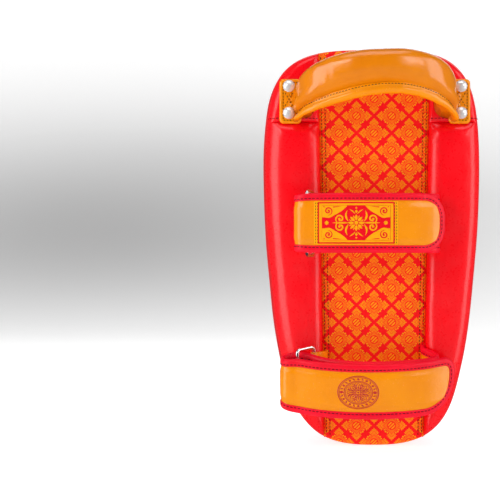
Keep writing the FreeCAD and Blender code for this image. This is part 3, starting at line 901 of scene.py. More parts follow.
def lean(t, up):
    """Height added where the grip has been pushed over: low on the left, high on the right."""
    free = ramp(np.asarray(up, float) * math.copysign(1, t), 0, 11)
    neck = ramp(-np.asarray(up, float), 14, 3)
    return math.sin(2 * t) * LEAN * np.maximum(free, neck)


def splay(t, out, up):
    """How far a point low on the grip's outer side spreads outwards near the grip's ends."""
    down = -np.asarray(up, float)
    neck = ramp(down, 13.2, 1.5)
    outer = (0.5 + 0.55 * ramp(down, 15, 8)) * neck + ramp(out, 0, 8) * (1 - neck)
    return SPLAY * math.copysign(abs(math.sin(t)) ** 5, t) * ramp(down, 2, 13) * outer


def grip_section(t):
    """The roll's outline: round above, drawn together below into the stitched flange."""
    full = 1 + 0.02 * math.sin(5.3 * t + 1.0) + 0.012 * math.sin(11 * t)
    half = [(13.2, 2.0), (12.6, 8.0), (9.3, 13.0), (3.4, 15.6)]
    low = [(1.9, -20.5), (1.9, -17.2), (2.1, -14.9), (5.0, -13.0), (9.4, -9.5), (12.5, -4.3)]
    pts = half + [(-a, b) for a, b in reversed(half)]
    pts += [(-a, b) for a, b in reversed(low)] + low
    ring = spline(pts, 64, True)
    ring[:, 0] *= narrowing(t) * full
    return ring


def close_ends(rows):
    """Faces for a swept closed section with both ends capped by fans."""
    n = len(rows[0])
    verts = np.vstack(rows + [np.mean(rows[0], 0)[None], np.mean(rows[-1], 0)[None]])
    faces = grid_faces(len(rows), n, False, True)
    a, b = len(verts) - 2, len(verts) - 1
    faces += [(a, (j + 1) % n, j) for j in range(n)]
    base = (len(rows) - 1) * n
    faces += [(b, base + j, base + (j + 1) % n) for j in range(n)]
    return verts, faces


def closed_piece(name, rows, material, mm=WELD):
    """A welded piece through closed rows, capped at both ends."""
    obj = new_mesh(name, *close_ends(rows), material)
    weld(obj, mm)
    return obj


def handle_roll():
    """The padded grip, standing on the end tabs."""
    rows = grip_rows()
    for t, r in zip(GRIP_TURNS, rows):
        out = unit(r - grip_frame(t)[0])
        fold = 0.35 * wave(r[:, 0] * 1.6, r[:, 1], r[:, 2] * 0.5, 8.0, 4.0)
        ends = 0.7 * wave(r[:, 0] * 0.5, r[:, 1] * 0.5, r[:, 2] * 2, 5.0, 14.0) \
            * math.exp(-((math.pi / 2 - abs(t)) / 0.35) ** 2)
        r += out * (fold + ends)[:, None]
        r[:, 1] = np.minimum(r[:, 1], ROLL_SEAT_Y)
    return closed_piece("handle_roll", rows, GOLD_ROLL)


FLANGE = [(2.2, -13.4), (3.5, -14.3), (3.8, -15.6), (3.4, -17.2), (4.2, -19.6), (4.0, -22.0),
          (2.4, -23.9), (0.0, -24.4)]


def handle_flange():
    """The rolled edge below the grip's stitch line."""
    ring = spline(FLANGE + [(-a, b) for a, b in reversed(FLANGE[:-1])], 40, True)
    rows = []
    for t in GRIP_TURNS:
        c, _, side, up = grip_frame(t)
        wob = 0.12 * math.sin(t * 23) + 0.08 * math.sin(t * 41 + 1)
        row = c + (ring[:, :1] * narrowing(t) + wob) * side + (ring[:, 1:] + wob) * up
        if abs(t) == GRIP_TURNS[-1]:
            row[:, 1] += GRIP_ROOT
        row[:, 0] += splay(t, 0.0, ring[:, 1])
        row[:, 2] += 2.6 * math.sin(2 * t) - 0.4
        row[:, 1] = np.minimum(row[:, 1], FLANGE_SEAT_Y)
        rows.append(row)
    return closed_piece("handle_rolled_flange", rows, GOLD)


TAB_X, TAB_Z = (70.0, 90.8), (314.2, 356.8)
TAB_FACE_Y, TAB_BACK_Y = -49.2, -46.1
TAB_CORNER, TAB_STEP = 4.0, 2.2
# how far in from the tab's edge, and at what depth, its turned edge, stitch groove and face lie
TAB_ROWS = ((0.7, -46.1), (0.15, -46.6), (0.0, -47.5), (0.2, -48.4), (0.9, -49.05), (1.9, -49.25),
            (2.9, -49.1), (3.6, -48.85), (4.4, -49.05), (6.5, -49.2), (9.0, -49.2), (12.0, -49.2))


def rounded_box(hx, hz, r, step):
    """A rounded rectangle's outline about its middle, in steps of about step."""
    corners = []
    for turn, (qx, qz) in enumerate(((1, 1), (-1, 1), (-1, -1), (1, -1))):
        for a in range(0, 91, 15):
            t = math.radians(90 * turn + a)
            corners.append((qx * (hx - r) + r * math.cos(t), qz * (hz - r) + r * math.sin(t)))
    ring = []
    for (a, b), (c, d) in zip(corners, corners[1:] + corners[:1]):
        k = max(int(math.hypot(c - a, d - b) / step), 1)
        ring += [(a + (c - a) * i / k, b + (d - b) * i / k) for i in range(k)]
    return np.array(ring)


def end_tab(mirror):
    """A leather tab under one end of the grip, with turned and stitched edges."""
    s = -1 if mirror else 1
    cx, cz = sum(TAB_X) / 2, sum(TAB_Z) / 2
    hx, hz = (TAB_X[1] - TAB_X[0]) / 2, (TAB_Z[1] - TAB_Z[0]) / 2
    ring = rounded_box(hx, hz, TAB_CORNER, TAB_STEP)
    rows = []
    for inset, y in TAB_ROWS:
        p = ring * np.array([1 - inset / hx, 1 - inset / hz])
        wob = 0.12 * wave(p[:, 0], y, p[:, 1], 7, 3.3 + s)
        rows.append(np.column_stack([s * (cx + p[:, 0]), y + wob, cz + p[:, 1]]))
    verts = np.vstack(rows + [[[s * cx, TAB_FACE_Y, cz]], [[s * cx, TAB_BACK_Y, cz]]])
    n = len(ring)
    last, face, back = (len(rows) - 1) * n, len(verts) - 2, len(verts) - 1
    faces = grid_faces(len(rows), n, False, True)
    for j in range(n):
        faces += [(last + j, last + (j + 1) % n, face), ((j + 1) % n, j, back)]
    obj = new_mesh("handle_tab_" + ("left" if mirror else "right"), verts, faces, GOLD)
    weld(obj)
    return obj


# ---------------------------------------------------------------- straps
class Strap:
    """A plan curve with width: places points by run along it, share across and height off it."""

    def __init__(self, plan, z, width, slope, pinch=None):
        self.p = spline(plan, 900)
        d = unit(np.gradient(self.p, axis=0))
        self.n = np.column_stack([-d[:, 1], d[:, 0]])
        self.s = run_length(self.p)
        self.z, self.half, self.slope = z, width / 2, slope
        self.pinch = pinch

    def run_at(self, x, y):
        """Distance along the curve of its nearest point to (x, y)."""
        k = np.argmin((self.p[:, 0] - x) ** 2 + (self.p[:, 1] - y) ** 2)
        return float(self.s[k])

    def scale(self, s):
        if self.pinch is None:
            return np.ones_like(s)
        mid, wide, much = self.pinch
        return 1 - much * np.exp(-((s - mid) / wide) ** 2)

    def at(self, s, w, h):
        """Points at run s, w mm across from the middle and h mm off the curve."""
        s, w, h = np.broadcast_arrays(np.asarray(s, float), np.asarray(w, float),
                                      np.asarray(h, float))
        x = np.interp(s, self.s, self.p[:, 0])
        y = np.interp(s, self.s, self.p[:, 1])
        nx = np.interp(s, self.s, self.n[:, 0])
        ny = np.interp(s, self.s, self.n[:, 1])
        y = y + ny * h
        z = self.z + w * self.scale(s) + self.slope * (y + 41.0)
        return np.stack([x + nx * h, y, z], -1)

    def normal(self, s, sign=-1.0):
        nx = np.interp(s, self.s, self.n[:, 0])
        ny = np.interp(s, self.s, self.n[:, 1])
        return np.stack([nx * sign, ny * sign, 0 * nx], -1)


UPPER = {
    "z": 218.8, "width": 55.0, "slope": 0.0, "tip_x": 61.5, "tip_r": (24.5, 23.0),
    "band": [(50.4, -37.8), (48.6, -41.8), (48.4, -46), (51, -51.8), (54.9, -57.5), (56.4, -64),
             (53, -70.2), (44, -74.6), (28, -78), (12, -80), (-6, -80.8), (-24, -79.8),
             (-38, -76.6), (-50, -71.8), (-58, -67.8), (-63.2, -65.8), (-67.6, -65.0)],
    "fold": (-67.6, -73.3, 8.3),
    "flap": [(-65.2, -81.7), (-58, -82.9), (-48, -84.4), (-36, -85.9), (-24, -86.6), (-6, -86.8),
             (12, -86), (28, -84.1), (42, -80.8), (52, -76.6), (58, -73.2), (63, -70)],
    "bar": (-59.5, -55.8), "bar_z": 218.8, "tilt": 0.0,
    "tab": [(-50.8, -37.8), (-48.9, -41.5), (-49.3, -46), (-52.4, -51.8), (-57, -54.8)],
    "tab_half": 22.0, "pinch": 0.05,
    "bend": ((-67.6, -65.7), (-59.2, -76.9)),
}
LOWER = {
    "z": 78.0, "width": 50.0, "slope": 0.25, "tip_x": 71.0, "tip_r": (34.5, 13.0),
    "band": [(48.4, -37.8), (46.5, -41.8), (46.3, -46.5), (49.2, -52.5), (53.4, -58.5),
             (55.6, -65), (52.5, -71.5), (44, -76.8), (30, -81), (12, -84.3), (-6, -85.8),
             (-24, -84.6), (-40, -80), (-50, -75.2), (-58, -69.5), (-64.5, -63.8), (-71, -60.9),
             (-76, -60.4), (-80.6, -60.5)],
    "fold": (-80.6, -68.5, 8.0),
    "flap": [(-78.2, -76.9), (-72, -79.1), (-62, -83.6), (-50, -87.3), (-38, -89.9),
             (-24, -91.5), (-6, -91.8), (12, -90.4), (30, -87.2), (46, -81.9), (58, -76.2),
             (66, -71.8), (73, -67.6)],
    "bar": (-56.5, -56.5), "bar_z": 73.6, "tilt": 6.0,
    "tab": [(-48.6, -37.8), (-46.8, -41.5), (-47.1, -46), (-50.2, -51.8), (-54.2, -55.2)],
    "tab_half": 24.0, "pinch": 0.10,
    "bend": ((-76.5, -66.1), (-66.6, -79.2)),
}
BIND_W, CORE_H = 7.0, 1.5
PATCH_T, PATCH_SUNK = 1.0, 0.25
HOOK_X = (-28, 36)
CROWN, FLAP_SEED = 0.9, 6.0
SEAM_IN, SEAM_H = 5.0, 2.12


def full_strap(k):
    """The whole strap's curve: band, fold and flap, with the runs where each begins."""
    cx, cy, r = k["fold"]
    q = r * math.sqrt(0.5)
    turn = [(cx - q, cy + q), (cx - r, cy), (cx - q, cy - q), (cx, cy - r)]
    st = Strap(k["band"] + turn + k["flap"], k["z"], k["width"], k["slope"])
    st.split = st.run_at(*k["band"][-1])
    st.apex = st.run_at(cx - r, cy)
    st.pinch = (st.apex, 11.0, k["pinch"])
    st.tip = st.run_at(k["tip_x"], float(np.interp(k["tip_x"], [p[0] for p in k["flap"][5:]],
                                                   [p[1] for p in k["flap"][5:]])))
    st.tip_r = k["tip_r"]
    return st


def tip_edge(st, s, inset, side):
    """Half width of the flap on one side at run s, inset from its outline."""
    half, r, end = st.half - inset, st.tip_r[side > 0] - inset, st.tip - inset
    over = np.clip(np.asarray(s, float) - (end - r), 0, r)
    return (half - r) + np.sqrt(np.maximum(r * r - over * over, 0))


def crowned(st, w, much):
    """Extra height of the leather between the bindings."""
    return much * eased(ramp(st.half - np.abs(w), BIND_W + 0.6, 6.0))


def face_height(st, s, w, tipped, much, seed):
    """How far the leather's outer face lies off the strap's curve."""
    near = np.clip((st.tip - s - BIND_W) / 6, 0, 1) if tipped else 1.0
    h = CORE_H + crowned(st, w, much) * near
    raw = st.at(s, w, 0)
    soft = 0.28 * wave(raw[..., 0], raw[..., 1], raw[..., 2], 17, seed)
    return h + soft * np.clip((h - CORE_H) / 0.3, 0, 1)


def leather_band(name, st, s0, s1, tipped, much, seed):
    """The strap's leather: a flat band with a slightly full outer face."""
    cols = np.linspace(-1, 1, 45)
    if tipped:
        end = st.tip - 1.0
        rise = end - (max(st.tip_r) - 1.0) * (1 - np.sin(np.linspace(0, math.pi / 2, 16)))
        runs = np.concatenate([np.arange(s0, rise[0] - 0.8, 1.6), rise])
    else:
        runs = np.linspace(s0, s1, max(int((s1 - s0) / 1.6), 8))
    outer, inner = [], []
    for s in runs:
        low, high = [float(tip_edge(st, s, 1.0, side)) if tipped else st.half - 1.0
                     for side in (-1, 1)]
        w = (high - low) / 2 + cols * (high + low) / 2
        h = face_height(st, s, w, tipped, much, seed)
        outer.append(st.at(s, w, -h))
        inner.append(st.at(s, w, CORE_H * np.ones_like(w)))
    n, m = len(runs), len(cols)
    verts = np.vstack([np.vstack(outer), np.vstack(inner)])
    faces = grid_faces(n, m)
    base = n * m
    faces += [tuple(base + i for i in f[::-1]) for f in grid_faces(n, m)]
    for i in range(n - 1):
        for j in (0, m - 1):
            a, b = i * m + j, (i + 1) * m + j
            faces.append((a, b, base + b, base + a) if j == 0 else (b, a, base + a, base + b))
    for j in range(m - 1):
        for i in (0, n - 1):
            a, b = i * m + j, i * m + j + 1
            faces.append((b, a, base + a, base + b) if i == 0 else (a, b, base + b, base + a))
    obj = new_mesh(name, verts, faces, GOLD)
    weld(obj)
    return obj


# the folded tape's section: distance in from the strap's edge, and off its middle
BIND_HALF = [(6.6, -1.45), (7.0, -1.7), (6.6, -2.15), (5.6, -2.3), (5.0, -2.05), (4.4, -2.3),
             (2.2, -2.35), (0.7, -1.8), (0.0, -0.6)]
BIND_PROFILE = np.array(BIND_HALF[1:] + [(a, -b) for a, b in reversed(BIND_HALF)]
                        + [(1.3, 1.4), (1.3, -1.4), BIND_HALF[0]])


def edge_line(st, s0, s1, tipped, inset):
    """(run, across) along the strap's edge, inset from it; round the tip if it has one."""
    if not tipped:
        runs = np.linspace(s0, s1, max(int((s1 - s0) / 1.5), 4))
        return [np.column_stack([runs, np.full_like(runs, side * (st.half - inset))])
                for side in (-1, 1)]
    end, half = st.tip - inset, st.half - inset
    line = []
    for side in (-1, 1):
        r = st.tip_r[side > 0] - inset
        runs = np.arange(s0, end - r, 1.5)
        a = np.linspace(0, math.pi / 2, 19)
        arc = np.column_stack([end - r + r * np.sin(a), side * ((half - r) + r * np.cos(a))])
        part = np.vstack([np.column_stack([runs, np.full_like(runs, side * half)]), arc])
        line.append(part if side < 0 else part[::-1])
    gap = line[1][0, 1] - line[0][-1, 1]
    if gap > 3:
        w = np.linspace(line[0][-1, 1], line[1][0, 1], int(gap / 1.5) + 2)[1:-1]
        line.insert(1, np.column_stack([np.full(len(w), end), w]))
    return [np.vstack(line)]


def binding(name, st, s0, s1, tipped, seed):
    """Folded leather tape over the strap's edges."""
    parts = []
    for side, line in enumerate(edge_line(st, s0, s1, tipped, 0.0)):
        t = unit(np.gradient(line, axis=0))
        inward = np.column_stack([-t[:, 1], t[:, 0]])
        if not tipped and side == 1:
            inward = -inward
        rows = []
        for i, (s, w) in enumerate(line):
            q = np.array([s, w]) + inward[i] * BIND_PROFILE[:, :1]
            puff = 1 + 0.10 * noise.noise(Vector((i * 0.31 + seed, w / 9, 0.5)))
            rows.append(st.at(q[:, 0], q[:, 1], BIND_PROFILE[:, 1] * puff))
        parts.append(close_ends(rows))
    obj = build(name, parts, CRIMSON)
    weld(obj, FINE_WELD)
    return obj


def strap_stitches(name, st, s0, s1, tipped):
    """Stitch lines along the bindings, on both faces."""
    parts = []
    for line in edge_line(st, s0, s1, tipped, SEAM_IN):
        for face in (-1, 1):
            pts = st.at(line[:, 0], line[:, 1], face * SEAM_H)
            parts.append(stitch_row(pts, st.normal(line[:, 0], face)))
    return build(name, parts, PINK_THREAD)


def fuzzy_patch(name, st, s0, s1, mat):
    """A hook or loop patch sewn on the strap's closing face, with softened edges."""
    half = st.half - BIND_W - 0.8
    cols = np.concatenate([[-1, -0.995, -0.97], np.linspace(-0.94, 0.94, 31), [0.97, 0.995, 1]])
    lift = np.concatenate([[0, 0.6, 0.95], np.ones(31), [0.95, 0.6, 0]])
    runs = np.concatenate([[s0, s0 + 0.15, s0 + 0.6], np.arange(s0 + 1.2, s1 - 1.2, 1.5),
                           [s1 - 0.6, s1 - 0.15, s1]])
    ends = np.ones(len(runs))
    ends[[0, -1]], ends[[1, -2]], ends[[2, -3]] = 0, 0.6, 0.95
    rows = []
    for s, e in zip(runs, ends):
        w = cols * half
        raw = st.at(s, w, 0)
        rough = 0.12 * wave(raw[:, 0], raw[:, 1], raw[:, 2], 2.2, 3.0)
        h = CORE_H - PATCH_SUNK + (PATCH_T + PATCH_SUNK + rough) * np.minimum(lift, e)
        rows.append(st.at(s, w, h))
    faces = grid_faces(len(rows), len(cols), flip=True)
    obj = new_mesh(name, np.vstack(rows), faces, mat)
    thicken(obj, 0.6)
    return obj


def anchor_tab(name, k):
    """Leather folded round the ring's held bar and sewn through both layers."""
    bar = np.array(k["bar"], float)
    fine = spline(k["tab"], 24)
    d = unit(np.gradient(fine, axis=0))
    n = np.column_stack([-d[:, 1], d[:, 0]])
    go = unit(bar - fine[-1])
    a0 = math.atan2(go[1], go[0])
    arc = [bar + 2.55 * np.array([math.cos(a0 + t), math.sin(a0 + t)])
           for t in np.linspace(math.pi / 2, -math.pi / 2, 9)]
    plan = np.vstack([(fine + 0.95 * n)[:-2:3], arc, (fine - 0.95 * n)[:-2:3][::-1]])
    st = Strap(plan, k["bar_z"], 2 * k["tab_half"], 0.0)
    tilt = math.tan(math.radians(k["tilt"]))
    cols = np.concatenate([[-1, -0.985, -0.95], np.linspace(-0.9, 0.9, 17), [0.95, 0.985, 1]])
    thin = np.concatenate([[0.25, 0.75, 1], np.ones(17), [1, 0.75, 0.25]])
    w = cols * st.half
    rows = []
    for s in np.linspace(0, st.s[-1], 90):
        raw = st.at(s, w, 0)
        wob = 0.06 * wave(raw[:, 0], raw[:, 1], raw[:, 2], 6, 2.5)
        r = np.vstack([st.at(s, w, 0.8 * thin + wob), st.at(s, w, -0.8 * thin + wob)[::-1]])
        follow = (r[:, 2] - k["bar_z"]) * tilt * ramp(-r[:, 1], 45, 8)
        r[:, :2] += follow[:, None] * go
        rows.append(r)
    return closed_piece(name, rows, GOLD, FINE_WELD), st


def build_strap(side, k):
    """All the pieces of one strap."""
    st = full_strap(k)
    n = side + "_"
    band = leather_band(n + "inner_leather", st, 0.0, st.split, False, 0.0, 1.0)
    place("pad", band, "gold_leather", n + "strap_band")
    edge = binding(n + "inner_edges", st, 0.0, st.split, False, 3.0)
    place("pad", edge, "binding_leather", n + "band_binding")
    place("pad", strap_stitches(n + "inner_edge_stitches", st, 3.0, st.split - 1, False), "thread")
    loops = fuzzy_patch(n + "loop_pad", st, st.run_at(38, -75), st.run_at(-38, -76.6), LOOP)
    place("pad", loops, "loop_fabric", n + "loop_patch")

    cover = leather_band(n + "flap_leather", st, st.split, st.tip, True, CROWN, FLAP_SEED)
    edge = binding(n + "flap_edges", st, st.split, st.tip, True, 8.0)
    sewn = strap_stitches(n + "flap_edge_stitches", st, st.split + 1, st.tip, True)
    hooks = fuzzy_patch(n + "hook_pad", st, flap_run(st, HOOK_X[0]), flap_run(st, HOOK_X[1]), HOOK)
    moving = [(cover, "gold_leather", n + "flap"), (edge, "binding_leather", n + "flap_binding"),
              (sewn, "thread", None), (hooks, "hook_fabric", n + "hook_patch")]
    if side == "upper":
        ground, *woven, label_thread = label_pieces(st)
        moving += [(ground, "label_weave", "upper_label")]
        moving += [(obj, "label_weave", None) for obj in woven]
        moving += [(label_thread, "thread", None)]
    else:
        moving += [(stamp_piece(st), "red_print", None)]
    for obj, finish, node in moving:
        if node:
            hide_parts(node)
        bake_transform(obj)
    tab, tab_st = anchor_tab(n + "ring_tab", k)
    place("pad", tab, "gold_leather", n + "anchor_tab")
    place("pad", ring_tab_stitches(side, tab_st), "thread")


# ---------------------------------------------------------------- ornament and print
class Figure:
    """Thin closed strips laid on a surface; surf turns plan points into points and normals."""

    def __init__(self, surf, lift, sink=0.3):
        self.surf, self.lift, self.sink = surf, lift, sink
        self.parts = []

    def strip(self, left, right, cols=3):
        """A strip between two plan curves."""
        left, right = np.asarray(left, float), np.asarray(right, float)
        t = np.linspace(0, 1, cols)[None, :, None]
        plan = left[:, None] * (1 - t) + right[:, None] * t
        pos, nrm = self.surf(plan[..., 0], plan[..., 1])
        top, low = pos + nrm * self.lift, pos - nrm * self.sink
        self.parts.append(close_ends([np.vstack([a, b[::-1]]) for a, b in zip(top, low)]))

    def stroke(self, line, widths, count=None):
        """A strip along a line, as wide as widths says from its start to its end."""
        count = count or max(int(len(line) * 6), 14)
        mid = spline(line, count) if len(line) > 2 else np.linspace(line[0], line[1], count)
        d = unit(np.gradient(mid, axis=0))
        side = np.column_stack([-d[:, 1], d[:, 0]])
        w = np.interp(np.linspace(0, 1, count), np.linspace(0, 1, len(widths)), widths) / 2
        w = np.maximum(w, 0.04)[:, None]
        self.strip(mid + side * w, mid - side * w)

    def hoop(self, r, width, count=72):
        """A ring of even width round the middle."""
        a = np.linspace(0, 2 * math.pi, count + 1)
        c = np.column_stack([np.cos(a), np.sin(a)])
        self.strip(c * (r + width / 2), c * (r - width / 2))

    def spot(self, cx, cy, rx, ry, points=9, power=1.0):
        """A filled oval, or a lozenge when power is 2."""
        a = np.linspace(0, math.pi, points)
        x = cx + np.sign(np.cos(a)) * np.abs(np.cos(a)) ** power * rx
        y = np.sin(a) ** power * ry
        self.strip(np.column_stack([x, cy + y]), np.column_stack([x, cy - y]))

    def petals(self, cx, cy, r0, r1, width, number, start=0.0):
        """Pointed petals round a centre."""
        for i in range(number):
            a = start + 2 * math.pi * i / number
            line = [(cx + r * math.cos(a), cy + r * math.sin(a)) for r in (r0, (r0 + r1) / 2, r1)]
            self.stroke(line, (0.2 * width, width, width, 0.75 * width, 0.1), 12)

    def curl(self, cx, cy, r, turns, start, width, hand):
        """A spiral stroke that thickens inwards and ends in a bead."""
        n = int(26 * turns)
        t = np.linspace(0, 1, n)
        a = start + hand * t * turns * 2 * math.pi
        rad = spiral(r, t)
        line = np.column_stack([cx + rad * np.cos(a), cy + rad * np.sin(a)])
        self.stroke(line, (0.35 * width, width, width * 1.1, width), n * 2)
        self.spot(*line[-1], width * 0.85, width * 0.85)

    def leaf(self, base, angle, size, hand):
        """One leaf: a full belly that narrows into a curled tip, with its vein left bare."""
        outer = [(0, 0), (0.22, 0.20), (0.50, 0.30), (0.78, 0.22), (1.0, 0.0), (1.10, -0.22)]
        inner = [(0, 0), (0.24, 0.05), (0.48, 0.02), (0.72, -0.06), (0.93, -0.14), (1.10, -0.22)]
        low = [(0.03, -0.04), (0.20, -0.10), (0.42, -0.16), (0.64, -0.20), (0.86, -0.22),
               (1.02, -0.26)]
        vein = [(0.05, 0.0), (0.24, -0.0), (0.47, -0.04), (0.70, -0.12), (0.90, -0.19),
                (1.03, -0.25)]
        outer, inner, low, vein = [spline(turned(c, angle, base, size, hand), 26)
                                   for c in (outer, inner, low, vein)]
        self.strip(outer, inner, 5)
        self.strip(vein, low)

    def spray(self, base, angle, size, hand):
        """A large leaf edged with smaller ones."""
        self.leaf(base, angle, size, hand)
        for t, share, turn in ((0.10, 0.46, 1.05), (0.32, 0.44, 0.95), (0.55, 0.38, 0.80),
                               (0.76, 0.28, 0.7)):
            side = 0.10 + 0.30 * math.sin(math.pi * min(t + 0.08, 1.0)) * 0.95
            at = turned([(t, side)], angle, base, size, hand)[0]
            self.leaf(at, angle + hand * turn, size * share, hand)

    def build(self, name, material):
        """The strips as one piece."""
        return build(name, self.parts, material)


def turned(points, angle, base=(0, 0), scale=1.0, flip=1.0):
    """Points turned about the origin, scaled and moved to base."""
    c, s = math.cos(angle), math.sin(angle)
    p = np.asarray(points, float) * scale * np.array([1.0, flip])
    return np.column_stack([p[:, 0] * c - p[:, 1] * s, p[:, 0] * s + p[:, 1] * c]) + base


def spiral(r, t):
    """Radius of a curl that starts at r, after a share t of its run."""
    return r * (1 - t) ** 0.8 * 0.86 + r * 0.14


def face_surface(height, way, e):
    """A face as plan (x, z) to points and outward normals; way is -1 on the strap side."""
    def surf(x, z):
        gx = (height(x + e, z) - height(x - e, z)) / (2 * e)
        gz = (height(x, z + e) - height(x, z - e)) / (2 * e)
        nrm = unit(np.stack([-gx, way * np.ones_like(gx), -gz], -1))
        return np.stack([x, way * height(x, z), z], -1), nrm
    return surf


def strike_surface(p, z):
    """The strike face as (distance to the right seen from the front, height)."""
    return face_surface(strike_y, 1, 0.5)(-p, z)


def flap_surface(st, s_mid, above, wide=1.0, high=1.0):
    """The outer face of a flap as (distance along from run s_mid, distance across)."""
    def surf(a, b):
        s, b = s_mid + np.asarray(a, float) * wide, np.asarray(b, float) * high
        h = face_height(st, s, b, True, CROWN, FLAP_SEED) + above
        return st.at(s, b, -h), st.normal(s, -1.0)
    return surf


def flap_run(st, x):
    """Run at which the flap passes x."""
    after = st.s > st.apex
    return float(np.interp(x, st.p[after, 0], st.s[after]))


def build(name, parts, mat):
    """Several closed shapes as one piece."""
    verts, faces = join_soup(parts)
    return new_mesh(name, verts, faces, mat)


LABEL = (-60, 16)            # ends of the woven label, by x
LABEL_LIFT = 0.55
FRAME = (34.2, 18.4, 1.25)   # half length, half height and width of the label's red border
FIELD = (31.0, 16.0)         # half length and half height of its red field
FLAT, RAISED = 0.14, 0.26    # lifts of the label's threads


def label_ground(half_a, half_b, base):
    """The label's woven ground, its edges turned under."""
    ca = np.concatenate([[-1, -0.997, -0.985], np.linspace(-0.965, 0.965, 61), [0.985, 0.997, 1]])
    cb = np.concatenate([[-1, -0.992, -0.97], np.linspace(-0.94, 0.94, 29), [0.97, 0.992, 1]])
    ea = np.interp(1 - np.abs(ca), [0, 0.003, 0.015, 0.035], [0, 0.6, 0.95, 1])
    eb = np.interp(1 - np.abs(cb), [0, 0.008, 0.03, 0.06], [0, 0.6, 0.95, 1])
    rows = []
    for a, e in zip(ca, ea):
        pos, nrm = base(np.full(len(cb), a * half_a), cb * half_b)
        lift = LABEL_LIFT * np.minimum(eb, e) + 0.04 * wave(pos[:, 0], pos[:, 1], pos[:, 2], 5, 1.0)
        rows.append(np.vstack([pos + nrm * lift[:, None], (pos - nrm * 0.5)[::-1]]))
    return closed_piece("label_ground", rows, LABEL_GOLD, FINE_WELD)


def label_fields(on):
    """The label's red border and red field."""
    red = Figure(on, FLAT)
    hx, hy, w = FRAME
    for sign in (-1, 1):
        red.stroke([(-hx - w / 2, sign * hy), (hx + w / 2, sign * hy)], (w, w), 60)
        red.stroke([(sign * hx, -hy - w / 2), (sign * hx, hy + w / 2)], (w, w), 30)
    xs = np.linspace(-FIELD[0], FIELD[0], 90)
    red.strip(np.column_stack([xs, 0 * xs + FIELD[1]]), np.column_stack([xs, 0 * xs - FIELD[1]]), 41)
    return red.build("label_red_fields", LABEL_RED)


def label_figures(on):
    """Golden corners, scrolls and a many-petalled flower on the red field; red scrolls over them."""
    corners, gold = Figure(on, 0.24, 0.1), Figure(on, RAISED)
    heart, scroll = Figure(on, 0.28), Figure(on, 0.36)
    t = np.linspace(0, 1, 26)
    bow = 10.6 * np.clip(1 - t ** 2.2, 0, 1) ** 0.9 + 1.3 * np.exp(-((t - 0.3) / 0.16) ** 2)
    for sx in (-1, 1):
        for sy in (-1, 1):
            x = sx * (30.8 - 22.8 * t)
            corners.strip(np.column_stack([x, sy * (15.8 + 0 * t)]),
                          np.column_stack([x, sy * (15.8 - bow)]), 13)
            scroll.curl(sx * 25.2, sy * 10.8, 3.9, 1.35, -sy * math.pi / 2, 1.05, -sx * sy)
            scroll.stroke([(sx * 20.8, sy * 14.4), (sx * 17.5, sy * 14.6), (sx * 13.6, sy * 15.0)],
                          (0.9, 0.7, 0.1))
            scroll.stroke([(sx * 29.6, sy * 14.8), (sx * 28.2, sy * 14.4)], (0.9, 0.5))
            # mirrored leaf scrolls either side of the middle
            gold.curl(sx * 14.6, sy * 3.6, 4.3, 1.2, -sy * math.pi / 2, 1.3, sx * sy)
            gold.stroke([(sx * 7.2, sy * 1.4), (sx * 9.4, sy * 7.0), (sx * 8.0, sy * 11.4)],
                        (0.4, 1.9, 1.4, 0.15))
            gold.stroke([(sx * 1.0, sy * 8.3), (sx * 3.4, sy * 10.6), (sx * 6.2, sy * 12.4)],
                        (0.3, 1.2, 0.15))
        gold.spot(sx * 26.6, 0, 2.1, 2.1, 13, 2.2)
        gold.petals(sx * 26.6, 0, 0.3, 2.0, 0.8, 4, math.pi / 4)
        gold.stroke([(sx * 6.4, 0), (sx * 10, 0.0), (sx * 21.5, 0)], (0.3, 1.6, 1.3, 0.2))
        gold.spot(0, sx * 10.4, 1.2, 1.6, 11, 1.8)
        gold.spot(0, sx * 13.6, 0.8, 0.8)
    gold.petals(0, 0, 2.2, 7.6, 2.4, 8)
    gold.petals(0, 0, 4.4, 7.2, 1.0, 8, math.pi / 8)
    heart.spot(0, 0, 1.7, 1.7, 15)
    return [build("label_golden_figures", corners.parts + gold.parts + heart.parts, LABEL_GOLD),
            scroll.build("label_red_scrolls", LABEL_RED)]


def label_pieces(st):
    """The woven label: ground, red fields, golden figures, red scrolls and its stitches."""
    s0, s1 = [flap_run(st, x) for x in LABEL]
    half_a, half_b = (s1 - s0) / 2, st.half - BIND_W - 0.4
    mid = (s0 + s1) / 2
    ground = label_ground(half_a, half_b, flap_surface(st, mid, 0.0))
    on = flap_surface(st, mid, LABEL_LIFT)
    woven = [ground, label_fields(on)] + label_figures(on)
    sewn = []
    for inset in (1.6, 3.4):
        for side in (-1, 1):
            b = np.linspace(-half_b + 0.8, half_b - 0.8, 40)
            pos, nrm = on(np.full(40, side * (half_a - inset)), b)
            sewn.append(stitch_row(pos, nrm, 2.6, 1.9, 0.26, 0.05, 0.15))
    return woven + [build("label_stitches", sewn, DARK_THREAD)]


STAMP_X = -20.8


